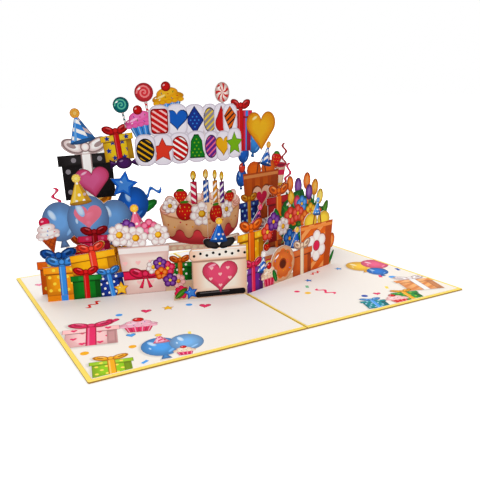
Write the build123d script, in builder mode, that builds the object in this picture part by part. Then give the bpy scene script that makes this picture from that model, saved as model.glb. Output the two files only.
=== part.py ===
from build123d import *
import math
import os

# A pop-up birthday card, opened flat and standing up.
# One folded cover carries two liner sheets. Four die-cut layers cross the spine one behind
# the other. Each layer is a V-fold: a left and a right wing of card that stand upright, meet
# in a crease over the spine with the point of the V towards the reader, and are glued down
# by feet folded back along their bottom edge. When the card closes, each crease tips
# forward and the wings fold flat between the leaves.
# Frame: the origin is under the middle of the spine, +X right, +Y to the back, +Z up.

# Driving dimensions, in millimetres and degrees
leaf_width = 130.0  # one leaf of the cover, from the spine to the outer edge
leaf_depth = 200.0  # along the spine
cover_thick = 0.8
cover_corner = 1.0
score_width = 0.9  # the crease pressed into the inside of the cover along the spine
score_depth = 0.3
liner_border = 2.6  # the strip of cover left bare round each liner
liner_spine_gap = 2.8  # between the two liners
liner_thick = 0.3
liner_corner = 0.6
card_thick = 0.4  # the card that the layers are cut from
slant = 16.5  # each wing runs back from the crease by this angle
foot_depth = 7.0
foot_chamfer = 2.5
flap_width = 8.0  # the glue flap that joins the left wing to the back of the right one
cut_overrun = 60.0

base_z = cover_thick + liner_thick
run = math.cos(math.radians(slant))
rise = math.sin(math.radians(slant))

# Each layer's crease, as a share of the leaf's depth from its front edge
crease_shares = {"front": 0.355, "second": 0.4675, "third": 0.555, "rear": 0.645}

# The die-cut forms. Each stands on its own baseline with a height of one, and is built from
# boxes (x, y, width, height), pads (x, y, width, height, corner), discs (x, y, radius), ovals
# and smaller many-sided lobes (x, y, half width, half height, turn), stars (x, y, tip, notch),
# rings of petals (x, y, radius of the ring, radius of a petal, how many, sides of a petal),
# waves (width, swing, how many) and outlines (points).
form_shares = {
    "gift": (
        ("box", 0, 0.34, 0.78, 0.68),
        ("box", 0, 0.62, 0.88, 0.17),
        ("lobe", -0.19, 0.83, 0.19, 0.11, -28),
        ("lobe", 0.19, 0.83, 0.19, 0.11, 28),
        ("disc", 0, 0.76, 0.09),
    ),
    "tall_gift": (
        ("box", 0, 0.38, 0.56, 0.76),
        ("box", 0, 0.71, 0.64, 0.12),
        ("lobe", -0.14, 0.88, 0.14, 0.08, -28),
        ("lobe", 0.14, 0.88, 0.14, 0.08, 28),
        ("disc", 0, 0.82, 0.07),
    ),
    "flat_gift": (
        ("box", 0, 0.3, 1.35, 0.6),
        ("lobe", -0.22, 0.76, 0.23, 0.13, -28),
        ("lobe", 0.22, 0.76, 0.23, 0.13, 28),
        ("disc", 0, 0.66, 0.12),
    ),
    "drum": (
        ("pad", 0, 0.38, 0.92, 0.76, 0.12),
        ("pad", 0, 0.74, 1.0, 0.22, 0.08),
        ("lobe", -0.13, 0.9, 0.15, 0.08, -30),
        ("lobe", 0.13, 0.9, 0.15, 0.08, 30),
    ),
    "bag": (
        ("outline", (-0.36, 0), (0.36, 0), (0.43, 0.78), (-0.43, 0.78)),
        ("lobe", -0.17, 0.82, 0.17, 0.14, 0),
        ("lobe", 0.17, 0.82, 0.17, 0.14, 0),
    ),
    "pot": (("outline", (-0.4, 0), (0.4, 0), (0.52, 1), (-0.52, 1)),),
    "balloon": (
        ("oval", 0, 0.58, 0.36, 0.42, 0),
        ("outline", (-0.1, 0.03), (0.1, 0.03), (0, 0.3)),
    ),
    "heart": (
        ("disc", -0.27, 0.7, 0.29),
        ("disc", 0.27, 0.7, 0.29),
        ("outline", (0, 0), (0.479, 0.499), (0.27, 0.7), (0, 0.75), (-0.27, 0.7), (-0.479, 0.499)),
    ),
    "star": (("star", 0, 0.47, 0.52, 0.27),),
    "lollipop": (("disc", 0, 0.74, 0.26), ("box", 0, 0.3, 0.08, 0.6)),
    "cupcake": (
        ("outline", (-0.27, 0), (0.27, 0), (0.4, 0.46), (-0.4, 0.46)),
        ("oval", 0, 0.5, 0.5, 0.17, 0),
        ("oval", 0, 0.64, 0.34, 0.18, 0),
        ("disc", 0, 0.85, 0.15),
    ),
    "cone": (
        ("outline", (0, 0), (0.24, 0.5), (-0.24, 0.5)),
        ("oval", 0, 0.54, 0.32, 0.14, 0),
        ("oval", 0, 0.7, 0.24, 0.13, 0),
        ("disc", 0, 0.86, 0.14),
    ),
    "hat": (
        ("outline", (-0.36, 0.06), (0.36, 0.06), (0, 0.88)),
        ("lobe", 0, 0.08, 0.365, 0.08, 0),
        ("disc", 0, 0.86, 0.14),
    ),
    "candle": (
        ("box", 0, 0.34, 0.2, 0.68),
        ("box", 0, 0.72, 0.06, 0.2),
        ("lobe", 0, 0.85, 0.09, 0.15, 0),
    ),
    "daisy": (("ring", 0, 0.5, 0.32, 0.19, 7, 8), ("disc", 0, 0.5, 0.3)),
    "flower": (("ring", 0, 0.5, 0.26, 0.25, 5, 10), ("disc", 0, 0.5, 0.2)),
    "tulip": (
        ("box", 0, 0.3, 0.07, 0.6),
        ("lobe", 0, 0.76, 0.16, 0.24, 0),
        ("lobe", -0.12, 0.3, 0.07, 0.27, 18),
        ("lobe", 0.12, 0.26, 0.07, 0.24, -20),
    ),
    "leaf": (("lobe", 0, 0.5, 0.2, 0.5, 0),),
    "bush": (("ring", 0, 0.45, 0.42, 0.27, 7, 14), ("disc", 0, 0.42, 0.42)),
    "strawberry": (
        ("disc", -0.16, 0.6, 0.24),
        ("disc", 0.16, 0.6, 0.24),
        ("outline", (0, 0), (0.37, 0.48), (0.16, 0.7), (-0.16, 0.7), (-0.37, 0.48)),
        ("lobe", 0, 0.84, 0.24, 0.12, 0),
    ),
    "candy": (
        ("oval", 0, 0.5, 0.62, 0.46, 0),
        ("outline", (-0.45, 0.5), (-1.1, 0.9), (-1.1, 0.1)),
        ("outline", (0.45, 0.5), (1.1, 0.1), (1.1, 0.9)),
    ),
    "donut": (("disc", 0, 0.5, 0.5),),
    "slice": (
        ("outline", (-0.62, 0), (0.5, 0), (0.62, 0.5), (-0.62, 0.66)),
        ("oval", -0.05, 0.6, 0.55, 0.14, -7),
        ("disc", -0.3, 0.82, 0.17),
    ),
    "streamer": (("wave", 0.15, 0.13, 2),),
    "cell": (("pad", 0, 0.5, 0.66, 1, 0.26),),
    "plate": (("box", 0, 0.5, 2.3, 1),),
    "stand": (
        ("pad", 0, 0.88, 2.6, 0.24, 0.1),
        ("outline", (-0.62, 0), (0.62, 0), (0.4, 0.8), (-0.4, 0.8)),
    ),
    "cake": (
        ("oval", 0, 0.734, 0.85, 0.24, 0),
        ("outline", (-0.78, 0.328), (0.78, 0.328), (0.85, 0.734), (-0.85, 0.734)),
        ("oval", 0, 0.328, 0.78, 0.3, 0),
        ("disc", -0.66, 0.88, 0.09),
        ("disc", -0.24, 0.95, 0.09),
        ("disc", 0, 0.965, 0.09),
        ("disc", 0.24, 0.95, 0.09),
        ("disc", 0.66, 0.88, 0.09),
    ),
    "popper": (
        ("outline", (-0.07, 0), (0.07, 0), (0.26, 0.9), (-0.26, 0.9)),
        ("lobe", 0, 0.9, 0.27, 0.1, 0),
    ),
}

# Gaps between the forms that are narrower than this share of the leaf's width are left uncut
window_share = 0.03

# Where each form stands on its wing: the distance from the crease, the height of its
# baseline above the liner and its own height, all as shares of the leaf's width, and the
# angle that it leans away from the crease.
layer_shares = {
    "front_left": (
        ("drum", 0.14, 0, 0.315, 0),
        ("hat", 0.143, 0.29, 0.13, -3),
        ("star", 0.29, 0, 0.075, 10),
        ("daisy", 0.345, 0.005, 0.075, 0),
        ("leaf", 0.378, 0.01, 0.08, -50),
    ),
    "front_right": (
        ("gift", 0.05, 0, 0.19, 0),
        ("hat", 0.12, 0.085, 0.12, 8),
        ("cupcake", 0.175, 0, 0.135, 0),
        ("donut", 0.29, 0, 0.205, 0),
        ("hat", 0.4, 0.165, 0.125, 8),
        ("gift", 0.46, 0, 0.215, 0),
        ("bag", 0.59, 0, 0.36, 2),
        ("hat", 0.595, 0.325, 0.105, 8),
        ("tulip", 0.705, 0, 0.2, 14),
        ("leaf", 0.235, 0.01, 0.08, -20),
    ),
    "second_left": (
        ("pot", 0.465, 0, 0.26, 0),
        ("daisy", 0.385, 0.255, 0.12, 0),
        ("daisy", 0.48, 0.245, 0.13, 20),
        ("daisy", 0.585, 0.265, 0.125, 0),
        ("flower", 0.43, 0.315, 0.09, 0),
        ("flower", 0.545, 0.32, 0.09, 0),
        ("hat", 0.487, 0.33, 0.155, 6),
        ("gift", 0.637, 0, 0.17, 8),
        ("gift", 0.77, 0, 0.18, 0),
        ("flat_gift", 0.72, 0.145, 0.17, 6),
        ("gift", 0.885, 0.03, 0.22, 0),
        ("star", 0.595, 0, 0.08, 0),
        ("flower", 0.345, 0.085, 0.085, 0),
        ("daisy", 0.29, 0.01, 0.08, 0),
        ("flower", 0.335, 0.02, 0.08, 0),
    ),
    "second_right": (
        ("tall_gift", 0.165, 0, 0.35, 0),
        ("hat", 0.205, 0.295, 0.13, 20),
        ("slice", 0.345, 0.02, 0.17, 0),
        ("flower", 0.3, 0.19, 0.11, 0),
        ("flower", 0.355, 0.24, 0.115, 0),
        ("daisy", 0.44, 0.2, 0.11, 0),
        ("flower", 0.5, 0.11, 0.12, 0),
        ("flower", 0.565, 0.03, 0.12, 0),
        ("leaf", 0.41, 0.26, 0.12, -20),
        ("leaf", 0.49, 0.2, 0.11, -45),
    ),
    "third_left": (
        ("gift", 0.225, 0, 0.165, 0),
        ("gift", 0.55, 0, 0.27, 0),
        ("gift", 0.76, 0, 0.25, 0),
        ("gift", 0.87, 0, 0.26, 0),
        ("balloon", 0.83, 0.245, 0.255, 6),
        ("balloon", 0.575, 0.24, 0.255, -4),
        ("balloon", 0.7, 0.225, 0.3, 0),
        ("gift", 0.675, 0.165, 0.2, 0),
        ("balloon", 0.48, 0.33, 0.23, -8),
        ("star", 0.515, 0.5, 0.15, -10),
        ("leaf", 0.455, 0.41, 0.14, -62),
        ("streamer", 0.44, 0.5, 0.14, -72),
        ("hat", 0.73, 0.475, 0.165, 6),
        ("streamer", 0.845, 0.455, 0.12, 8),
        ("cone", 0.89, 0.225, 0.2, 12),
    ),
    "third_right": (
        ("gift", 0.49, 0, 0.19, 0),
        ("tall_gift", 0.515, 0.13, 0.36, 0),
        ("bush", 0.7, 0.1, 0.28, 0),
        ("bush", 0.84, 0.06, 0.23, 0),
        ("tulip", 0.78, 0.29, 0.235, 4),
        ("tulip", 0.85, 0.24, 0.235, 8),
        ("tulip", 0.71, 0.27, 0.23, -2),
        ("tulip", 0.635, 0.31, 0.21, -4),
        ("tulip", 0.815, 0.225, 0.22, 0),
        ("tulip", 0.895, 0.185, 0.22, 12),
        ("tulip", 0.645, 0.23, 0.2, -5),
        ("leaf", 0.945, 0.18, 0.15, 28),
        ("flower", 0.625, 0.2, 0.125, 0),
        ("flower", 0.7, 0.21, 0.12, 0),
        ("daisy", 0.83, 0.13, 0.11, 0),
        ("flower", 0.91, 0.07, 0.12, 0),
    ),
    "rear_left": (
        ("stand", 0, 0, 0.2, 0),
        ("cake", 0, 0.165, 0.32, 0),
        ("candle", 0, 0.42, 0.195, 0),
        ("candle", 0.072, 0.415, 0.195, 0),
        ("strawberry", 0.149, 0.415, 0.1, 0),
        ("daisy", 0.211, 0.37, 0.09, 0),
        ("gift", 0.66, 0, 0.31, 0),
        ("gift", 0.63, 0.24, 0.28, 0),
        ("gift", 0.64, 0.485, 0.345, 2),
        ("heart", 0.615, 0.49, 0.165, 6),
        ("hat", 0.655, 0.785, 0.19, 12),
        ("gift", 0.468, 0.685, 0.2, 6),
        ("candy", 0.447, 0.635, 0.07, 4),
        ("lollipop", 0.425, 0.86, 0.165, 10),
        ("cupcake", 0.332, 0.81, 0.17, 11),
        ("lollipop", 0.3, 0.9, 0.195, 8),
        ("cupcake", 0.178, 0.925, 0.175, 9),
        ("plate", 0, 0.7, 0.22, 0),
        ("cell", 0.05, 0.8, 0.175, 0),
        ("cell", 0.148, 0.805, 0.175, 0),
        ("cell", 0.245, 0.8, 0.175, 0),
        ("cell", 0.045, 0.655, 0.175, 0),
        ("cell", 0.14, 0.65, 0.175, 0),
        ("cell", 0.235, 0.645, 0.175, 0),
        ("cell", 0.33, 0.645, 0.175, 0),
    ),
    "rear_right": (
        ("stand", 0, 0, 0.2, 0),
        ("cake", 0, 0.165, 0.32, 0),
        ("candle", 0, 0.42, 0.195, 0),
        ("candle", 0.068, 0.41, 0.195, 0),
        ("candle", 0.122, 0.4, 0.19, 0),
        ("strawberry", 0.18, 0.375, 0.1, 0),
        ("gift", 0.365, 0, 0.25, 0),
        ("gift", 0.52, 0, 0.27, 0),
        ("gift", 0.68, 0, 0.25, 0),
        ("bag", 0.465, 0.25, 0.385, 0),
        ("gift", 0.35, 0.235, 0.2, 0),
        ("gift", 0.635, 0.21, 0.26, 0),
        ("balloon", 0.28, 0.455, 0.13, 6),
        ("donut", 0.295, 0.56, 0.06, 0),
        ("balloon", 0.31, 0.595, 0.135, 0),
        ("balloon", 0.385, 0.64, 0.175, 14),
        ("hat", 0.5, 0.58, 0.155, 16),
        ("strawberry", 0.6, 0.55, 0.12, 8),
        ("popper", 0.64, 0.4, 0.19, 4),
        ("streamer", 0.68, 0.56, 0.15, 4),
        ("streamer", 0.7, 0.41, 0.17, 14),
        ("heart", 0.47, 0.68, 0.235, 0),
        ("tall_gift", 0.285, 0.69, 0.31, 2),
        ("lollipop", 0.15, 0.87, 0.22, -1),
        ("plate", 0, 0.7, 0.22, 0),
        ("cell", 0.045, 0.8, 0.175, 0),
        ("cell", 0.135, 0.8, 0.175, 0),
        ("cell", 0.205, 0.795, 0.175, 0),
        ("cell", 0.05, 0.65, 0.175, 0),
        ("cell", 0.145, 0.645, 0.175, 0),
        ("cell", 0.235, 0.655, 0.175, 0),
    ),
}

# The strip of card along the foot of each wing, as its length and height
strip_shares = {
    "front_left": (0.385, 0.03),
    "front_right": (0.74, 0.03),
    "second_left": (0.97, 0.05),
    "second_right": (0.6, 0.06),
    "third_left": (0.95, 0.045),
    "third_right": (0.93, 0.07),
    "rear_left": (0.76, 0.08),
    "rear_right": (0.76, 0.1),
}

# Glue feet, as the start and end of each along its wing
foot_shares = {
    "front_left": ((0.05, 0.33),),
    "front_right": ((0.05, 0.33), (0.42, 0.7)),
    "second_left": ((0.06, 0.34), (0.44, 0.9)),
    "second_right": ((0.06, 0.5),),
    "third_left": ((0.06, 0.36), (0.5, 0.88)),
    "third_right": ((0.06, 0.4), (0.52, 0.84)),
    "rear_left": ((0.06, 0.3), (0.42, 0.74)),
    "rear_right": ((0.06, 0.3), (0.4, 0.7)),
}

# Glue flaps over the crease, as the bottom and top of each
flap_shares = {
    "front": ((0.02, 0.12),),
    "second": ((0.006, 0.03),),
    "third": ((0.006, 0.04),),
    "rear": ((0.05, 0.42), (0.68, 0.94)),
}


def lobe_points(x, y, half_width, half_height, turn):
    """A small oval with twelve straight sides, which a cutting rule bends more easily."""
    side_count = 12
    cos_turn = math.cos(math.radians(turn))
    sin_turn = math.sin(math.radians(turn))
    corners = []
    for i in range(side_count):
        across = half_width * math.cos(2 * math.pi / side_count * i)
        along = half_height * math.sin(2 * math.pi / side_count * i)
        corners.append((x + across * cos_turn - along * sin_turn, y + across * sin_turn + along * cos_turn))
    return corners


def star_points(x, y, tip_radius, notch_radius):
    """The ten corners of a five-pointed star."""
    tip_count = 5
    corners = []
    for i in range(2 * tip_count):
        reach = tip_radius if i % 2 == 0 else notch_radius
        angle = math.radians(90 + 180 / tip_count * i)
        corners.append((x + reach * math.cos(angle), y + reach * math.sin(angle)))
    return corners


def form_outline(kind, height):
    """One die-cut form as a flat face, standing on its baseline."""
    with BuildSketch(mode=Mode.PRIVATE) as outline:
        for shape, *shares in form_shares[kind]:
            if shape == "star":
                shares = star_points(*shares)
            if shape == "lobe":
                shares = lobe_points(*shares)
            if shape in ("outline", "star", "lobe"):
                Polygon(*[(x * height, y * height) for x, y in shares], align=None)
                continue
            if shape == "wave":
                add(wave_band(*shares, height))
                continue
            x, y, *sizes = shares
            with Locations((x * height, y * height)):
                if shape == "disc":
                    Circle(sizes[0] * height)
                if shape == "oval":
                    Ellipse(sizes[0] * height, sizes[1] * height, rotation=sizes[2])
                if shape == "box":
                    Rectangle(sizes[0] * height, sizes[1] * height)
                if shape == "pad":
                    RectangleRounded(sizes[0] * height, sizes[1] * height, sizes[2] * height)
                if shape == "ring":
                    with PolarLocations(sizes[0] * height, sizes[2], start_angle=90):
                        RegularPolygon(sizes[1] * height, sizes[3])
    return outline.sketch


def wave_band(width_share, swing_share, waves, height):
    """A curled paper streamer, as a band of even width that swings from side to side."""
    steps = 8 * waves
    half = width_share * height / 2
    places = []
    for i in range(steps + 1):
        places.append((math.sin(math.pi / 4 * i) * swing_share * height, i / steps * height))
    edge = [(x - half, y) for x, y in places] + [(x + half, y) for x, y in reversed(places)]
    with BuildSketch(mode=Mode.PRIVATE) as band:
        Polygon(*edge, align=None)
    return band.sketch


def small_windows(outline):
    """The gaps inside an outline that are too small to cut out."""
    windows = [Face(wire) for wire in outline.face().inner_wires()]
    smallest = window_share * leaf_width
    return [window for window in windows if window.area < smallest**2]


def crease_y(layer):
    return (crease_shares[layer] - 0.5) * leaf_depth


def upright_plane(start_y, hand):
    """The plane of a wing's printed face: x runs out from the crease, y runs up."""
    return Plane(
        origin=(0, start_y, base_z), x_dir=(hand * run, rise, 0), z_dir=(rise, -hand * run, 0)
    )


def floor_plane(start_y, hand):
    """The plane of a wing's glue feet: x runs out from the crease, y runs back."""
    return Plane(origin=(0, start_y, base_z), x_dir=(hand * run, rise, 0), z_dir=(0, 0, hand))


# Cover: one sheet of heavy yellow card, folded once, with the fold scored on the inside
with BuildPart() as cover:
    with BuildSketch():
        RectangleRounded(2 * leaf_width, leaf_depth, cover_corner)
    extrude(amount=cover_thick)
    with BuildSketch(Plane.XZ.offset(-leaf_depth / 2 - cut_overrun)):
        with BuildLine():
            Polyline(
                (-score_width / 2, cover_thick),
                (0, cover_thick - score_depth),
                (score_width / 2, cover_thick),
                close=True,
            )
        make_face()
    extrude(amount=leaf_depth + 2 * cut_overrun, mode=Mode.SUBTRACT)
cover.part.label = "cover"


def liner(hand, label):
    """A printed sheet glued inside one leaf, short of its edges and of the spine."""
    width = leaf_width - liner_border - liner_spine_gap / 2
    middle = liner_spine_gap / 2 + width / 2
    with BuildPart() as sheet:
        with BuildSketch(Plane.XY.offset(cover_thick)):
            with Locations((hand * middle, 0)):
                RectangleRounded(width, leaf_depth - 2 * liner_border, liner_corner)
        extrude(amount=liner_thick)
    sheet.part.label = label
    return sheet.part


def wing(layer, side):
    """One wing of a V-fold layer, cut to the outline of its print, with its glue feet."""
    name = f"{layer}_{side}"
    hand = 1 if side == "right" else -1
    lap = 0 if side == "right" else card_thick / run  # the left wing's flap lies behind
    start_y = crease_y(layer) + lap
    reach, strip_height = (share * leaf_width for share in strip_shares[name])
    with BuildPart() as sheet:
        with BuildSketch(upright_plane(start_y, hand)) as sketch:
            with Locations((reach / 2, strip_height / 2)):
                Rectangle(reach, strip_height)
            for kind, out, up, height, lean in layer_shares[name]:
                form = form_outline(kind, height * leaf_width)
                spot = Location((out * leaf_width, up * leaf_width, 0), (0, 0, -lean))
                add(spot * form)
            with Locations((0, -cut_overrun / 2)):
                Rectangle(4 * leaf_width, cut_overrun, mode=Mode.SUBTRACT)
            with Locations((-cut_overrun / 2, 0)):
                Rectangle(cut_overrun, 4 * leaf_width, mode=Mode.SUBTRACT)
            for pinhole in small_windows(sketch.sketch_local):
                add(pinhole)
        extrude(amount=-hand * card_thick)
        with BuildSketch(floor_plane(start_y, hand)):
            for start, end in foot_shares[name]:
                Polygon(
                    (start * leaf_width, card_thick / 2),
                    (end * leaf_width, card_thick / 2),
                    (end * leaf_width, card_thick),
                    (end * leaf_width - foot_chamfer, card_thick + foot_depth),
                    (start * leaf_width + foot_chamfer, card_thick + foot_depth),
                    (start * leaf_width, card_thick),
                    align=None,
                )
        extrude(amount=hand * card_thick)
        if side == "left":
            with BuildSketch(upright_plane(start_y, 1)):
                for low, high in flap_shares[layer]:
                    with Locations((flap_width / 2, (low + high) / 2 * leaf_width)):
                        Rectangle(flap_width, (high - low) * leaf_width)
            extrude(amount=-card_thick)
    sheet.part.label = name
    return sheet.part


os.makedirs("parts", exist_ok=True)
export_step(cover.part, "parts/cover.step")
export_step(liner(-1, "liner_left"), "parts/liner_left.step")
export_step(liner(1, "liner_right"), "parts/liner_right.step")
for layer in crease_shares:
    for side in ("left", "right"):
        export_step(wing(layer, side), f"parts/{layer}_{side}.step")
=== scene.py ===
import math

import bmesh
import bpy
import numpy as np
from mathutils import Matrix, Vector
from mathutils.geometry import delaunay_2d_cdt


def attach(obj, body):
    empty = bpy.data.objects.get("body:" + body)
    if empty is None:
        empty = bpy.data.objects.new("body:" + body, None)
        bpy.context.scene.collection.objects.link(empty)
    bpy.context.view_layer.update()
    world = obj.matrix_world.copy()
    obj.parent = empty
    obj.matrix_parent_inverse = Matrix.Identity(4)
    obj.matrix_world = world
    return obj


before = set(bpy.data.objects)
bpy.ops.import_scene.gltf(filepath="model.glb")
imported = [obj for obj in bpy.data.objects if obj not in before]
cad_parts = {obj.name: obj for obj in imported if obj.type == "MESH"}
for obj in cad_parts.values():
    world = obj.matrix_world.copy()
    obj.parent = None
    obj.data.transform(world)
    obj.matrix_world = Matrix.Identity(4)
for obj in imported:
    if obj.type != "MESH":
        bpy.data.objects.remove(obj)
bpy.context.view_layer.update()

# Cover: one sheet of heavy yellow card, folded once and scored inside along the spine.
# Its colour goes right through; its cut edges are painted darker and browner, as shade.
leaf_width = 0.130
leaf_depth = 0.200
cover_thick = 0.0008
cover_yellow = (255, 224, 100)
# Painted shade: the darker, browner colour given to the cover's cut sides
edge_shade_brown = (158, 112, 36)


def linear(colour, strength=1.0):
    """Everyday 0 to 255 colours as the shader's linear ones, by the usual sRGB curve."""
    shares = np.array(colour) / 255
    light = np.where(shares <= 0.04045, shares / 12.92, ((shares + 0.055) / 1.055) ** 2.4) * strength
    return np.append(light, np.ones(light.shape[:-1] + (1,)), axis=-1)


def feed(links, socket, value):
    """Gives a socket a plain value, or what another socket puts out."""
    if isinstance(value, bpy.types.NodeSocket):
        links.new(value, socket)
    else:
        socket.default_value = value


def noise(nodes, links, scale, detail):
    """A cloudy pattern on the piece's own coordinates."""
    cloud = nodes.new("ShaderNodeTexNoise")
    cloud.inputs["Scale"].default_value = scale
    cloud.inputs["Detail"].default_value = detail
    place = nodes.new("ShaderNodeTexCoord")
    links.new(place.outputs["Object"], cloud.inputs["Vector"])
    return cloud.outputs["Fac"]


def blend_colour(stock, first, second, factor):
    """Colours a stock with a blend of two colours or sockets."""
    nodes, links = stock.node_tree.nodes, stock.node_tree.links
    blend = nodes.new("ShaderNodeMix")
    blend.data_type = "RGBA"
    for name, value in (("A", first), ("B", second), ("Factor", factor)):
        feed(links, blend.inputs[name], value)
    links.new(blend.outputs["Result"], nodes["Principled BSDF"].inputs["Base Color"])


paper_gloss = 0.2
clouds_a_metre = 45
grain_strength = 0.5


def card_stock(name, colour, roughness, grain_size, grain_height, mottle=0.04):
    """Paper or card: one colour, faintly cloudy, with a fine fibre grain."""
    stock = bpy.data.materials.new(name)
    stock.use_nodes = True
    nodes, links = stock.node_tree.nodes, stock.node_tree.links
    shader = nodes["Principled BSDF"]
    shader.inputs["Roughness"].default_value = roughness
    shader.inputs["Specular IOR Level"].default_value = paper_gloss
    blend_colour(stock, linear(colour, 1 - mottle), linear(colour), noise(nodes, links, clouds_a_metre, 3))
    bump = nodes.new("ShaderNodeBump")
    bump.inputs["Distance"].default_value = grain_height
    bump.inputs["Strength"].default_value = grain_strength
    links.new(noise(nodes, links, 1 / grain_size, 4), bump.inputs["Height"])
    links.new(bump.outputs["Normal"], shader.inputs["Normal"])
    return stock


def finish_node(node, material):
    """Gives a CAD node its look and the slot that it takes it from."""
    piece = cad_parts[node]
    piece.data.materials.clear()
    piece.data.materials.append(material)


def maths_node(nodes, links, operation, first, second=0.0):
    """A maths node fed by sockets or by plain values."""
    node = nodes.new("ShaderNodeMath")
    node.operation = operation
    feed(links, node.inputs[0], first)
    feed(links, node.inputs[1], second)
    return node.outputs[0]


def shade_where(stock, colour, mask_of):
    """Paints shade into a stock: a darker colour where a mask of the piece's own coordinates is 1."""
    nodes, links = stock.node_tree.nodes, stock.node_tree.links
    place = nodes.new("ShaderNodeTexCoord")
    axes = nodes.new("ShaderNodeSeparateXYZ")
    links.new(place.outputs["Object"], axes.inputs["Vector"])
    mask = mask_of(lambda *given: maths_node(nodes, links, *given), *axes.outputs)
    before = nodes["Principled BSDF"].inputs["Base Color"].links[0].from_socket
    blend_colour(stock, before, linear(colour), mask)


liner_border = 0.0026
liner_spine_gap = 0.0028
# The cover's sides between these heights, and a thin line along the liners' edges, are painted as shade
edge_low, edge_high = 0.00003, cover_thick - 0.00005
shade_width, shade_strength = 0.00016, 0.22


def edge_and_liner_shade(maths, x, y, z):
    """Where shade is painted on the cover: its sides, and a thin line of shade along the liners' edges."""
    side = maths("MULTIPLY", maths("GREATER_THAN", z, edge_low), maths("LESS_THAN", z, edge_high))
    liner_inner, liner_outer = liner_spine_gap / 2, leaf_width - liner_border
    from_middle = maths("SUBTRACT", maths("ABSOLUTE", x), (liner_outer + liner_inner) / 2)
    across = maths("SUBTRACT", maths("ABSOLUTE", from_middle), (liner_outer - liner_inner) / 2)
    along = maths("SUBTRACT", maths("ABSOLUTE", y), leaf_depth / 2 - liner_border)
    shade = maths("LESS_THAN", maths("MAXIMUM", across, along), shade_width)
    return maths("MAXIMUM", side, maths("MULTIPLY", shade, shade_strength))


yellow_card = card_stock("yellow_card", cover_yellow, roughness=0.62, grain_size=0.0009,
                         grain_height=0.00003)
# Painted shade: the cover's cut sides and a line along the liners' edges turn darker
shade_where(yellow_card, edge_shade_brown, edge_and_liner_shade)
finish_node("cover", yellow_card)

# Liners: a sheet of coated paper glued inside each leaf, printed with loose party shapes
# over white and cream. The print is a thin skin of ink, cut into flat fields of one colour
# or of one colour that deepens towards its rim.
liner_thick = 0.0003
liner_paper = (247, 243, 244)
skin_rise = 0.00003
skin_sink = 0.00002
line_width = 0.00035
leaf_top = cover_thick + liner_thick

cream_wash = (248, 240, 228)
white = (250, 248, 246)
cream = (247, 228, 200)
lemon = (255, 226, 84)
yellow = (255, 200, 22)
gold = (248, 176, 24)
orange = (250, 132, 16)
coral = (246, 84, 56)
red = (226, 26, 26)
crimson = (190, 12, 26)
rose = (236, 48, 104)
pink = (248, 128, 168)
blush = (254, 208, 206)
lilac = (204, 196, 210)
purple = (128, 56, 166)
plum = (84, 20, 110)
navy = (38, 76, 170)
blue = (34, 122, 216)
sky = (78, 164, 240)
powder = (136, 188, 240)
ice = (174, 220, 250)
teal = (0, 142, 150)
green = (22, 148, 48)
leaf_green = (92, 158, 28)
mint = (120, 196, 150)
lime = (150, 206, 24)
brown = (176, 82, 18)
chestnut = (218, 108, 28)
charcoal = (34, 28, 30)
grey = (168, 162, 168)


def deep(colour, amount):
    """The same ink, darker and a little warmer."""
    return (colour[0] * (amount + 0.08), colour[1] * amount, colour[2] * amount)


def between(first, second, share):
    """An ink mixed from two, or a place on the way from one to another."""
    return tuple(a + (b - a) * share for a, b in zip(first, second))


def tint(colour, amount):
    """The same ink let down with white."""
    return between(colour, (252, 252, 252), amount)


def oval(x, y, half_width, half_height, turn=0.0, sides=22):
    """An ellipse about a place, turned by so many degrees."""
    cos_turn, sin_turn = math.cos(math.radians(turn)), math.sin(math.radians(turn))
    points = []
    for i in range(sides):
        across = half_width * math.cos(2 * math.pi / sides * i)
        along = half_height * math.sin(2 * math.pi / sides * i)
        points.append((x + across * cos_turn - along * sin_turn, y + across * sin_turn + along * cos_turn))
    return points


def disc(x, y, radius, sides=22):
    """A circle."""
    return oval(x, y, radius, radius, 0, sides)


def lobe(x, y, half_width, half_height, turn=0.0):
    """A small ellipse, with fewer corners."""
    return oval(x, y, half_width, half_height, turn, 12)


def box(x, y, width, height):
    """An upright rectangle about a place."""
    return [(x - width / 2, y - height / 2), (x + width / 2, y - height / 2),
            (x + width / 2, y + height / 2), (x - width / 2, y + height / 2)]


def pad(x, y, width, height, corner):
    """A box with round corners."""
    points = []
    for turn, (side, level) in enumerate(((1, 1), (-1, 1), (-1, -1), (1, -1))):
        for i in range(5):
            angle = math.radians(90 * turn + 22.5 * i)
            points.append((x + side * (width / 2 - corner) + corner * math.cos(angle),
                           y + level * (height / 2 - corner) + corner * math.sin(angle)))
    return points


def heart(x, y, size, sides=36):
    """A heart of the given height, standing on its tip."""
    points = []
    for i in range(sides):
        a = 2 * math.pi / sides * i
        wide = 16 * math.sin(a) ** 3
        high = 13 * math.cos(a) - 5 * math.cos(2 * a) - 2 * math.cos(3 * a) - math.cos(4 * a)
        points.append((x + wide / 29.5 * size, y + (high + 17) / 29.2 * size))
    return points


def around(x, y, reach, degrees):
    """The place that lies so far from another, in the given direction."""
    return (x + reach * math.cos(math.radians(degrees)), y + reach * math.sin(math.radians(degrees)))


def star(x, y, tip, notch, turn=0.0):
    """A five-pointed star, its tips and notches at two distances from the middle."""
    return [around(x, y, (tip, notch)[i % 2], 90 + 36 * i + turn) for i in range(10)]


def petals(x, y, ring, petal, count, sides):
    """Discs set in a ring, the first at the top."""
    return [disc(*around(x, y, ring, 90 + 360 / count * i), petal, sides) for i in range(count)]


def wave(x, y, width, swing, waves, height, fine=8):
    """A curled streamer that rises from x, y, with so many points a wave."""
    steps = fine * waves
    line = [(x + math.sin(2 * math.pi / fine * i) * swing, y + i / steps * height) for i in range(steps + 1)]
    return [(a - width / 2, b) for a, b in line] + [(a + width / 2, b) for a, b in reversed(line)]


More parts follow.
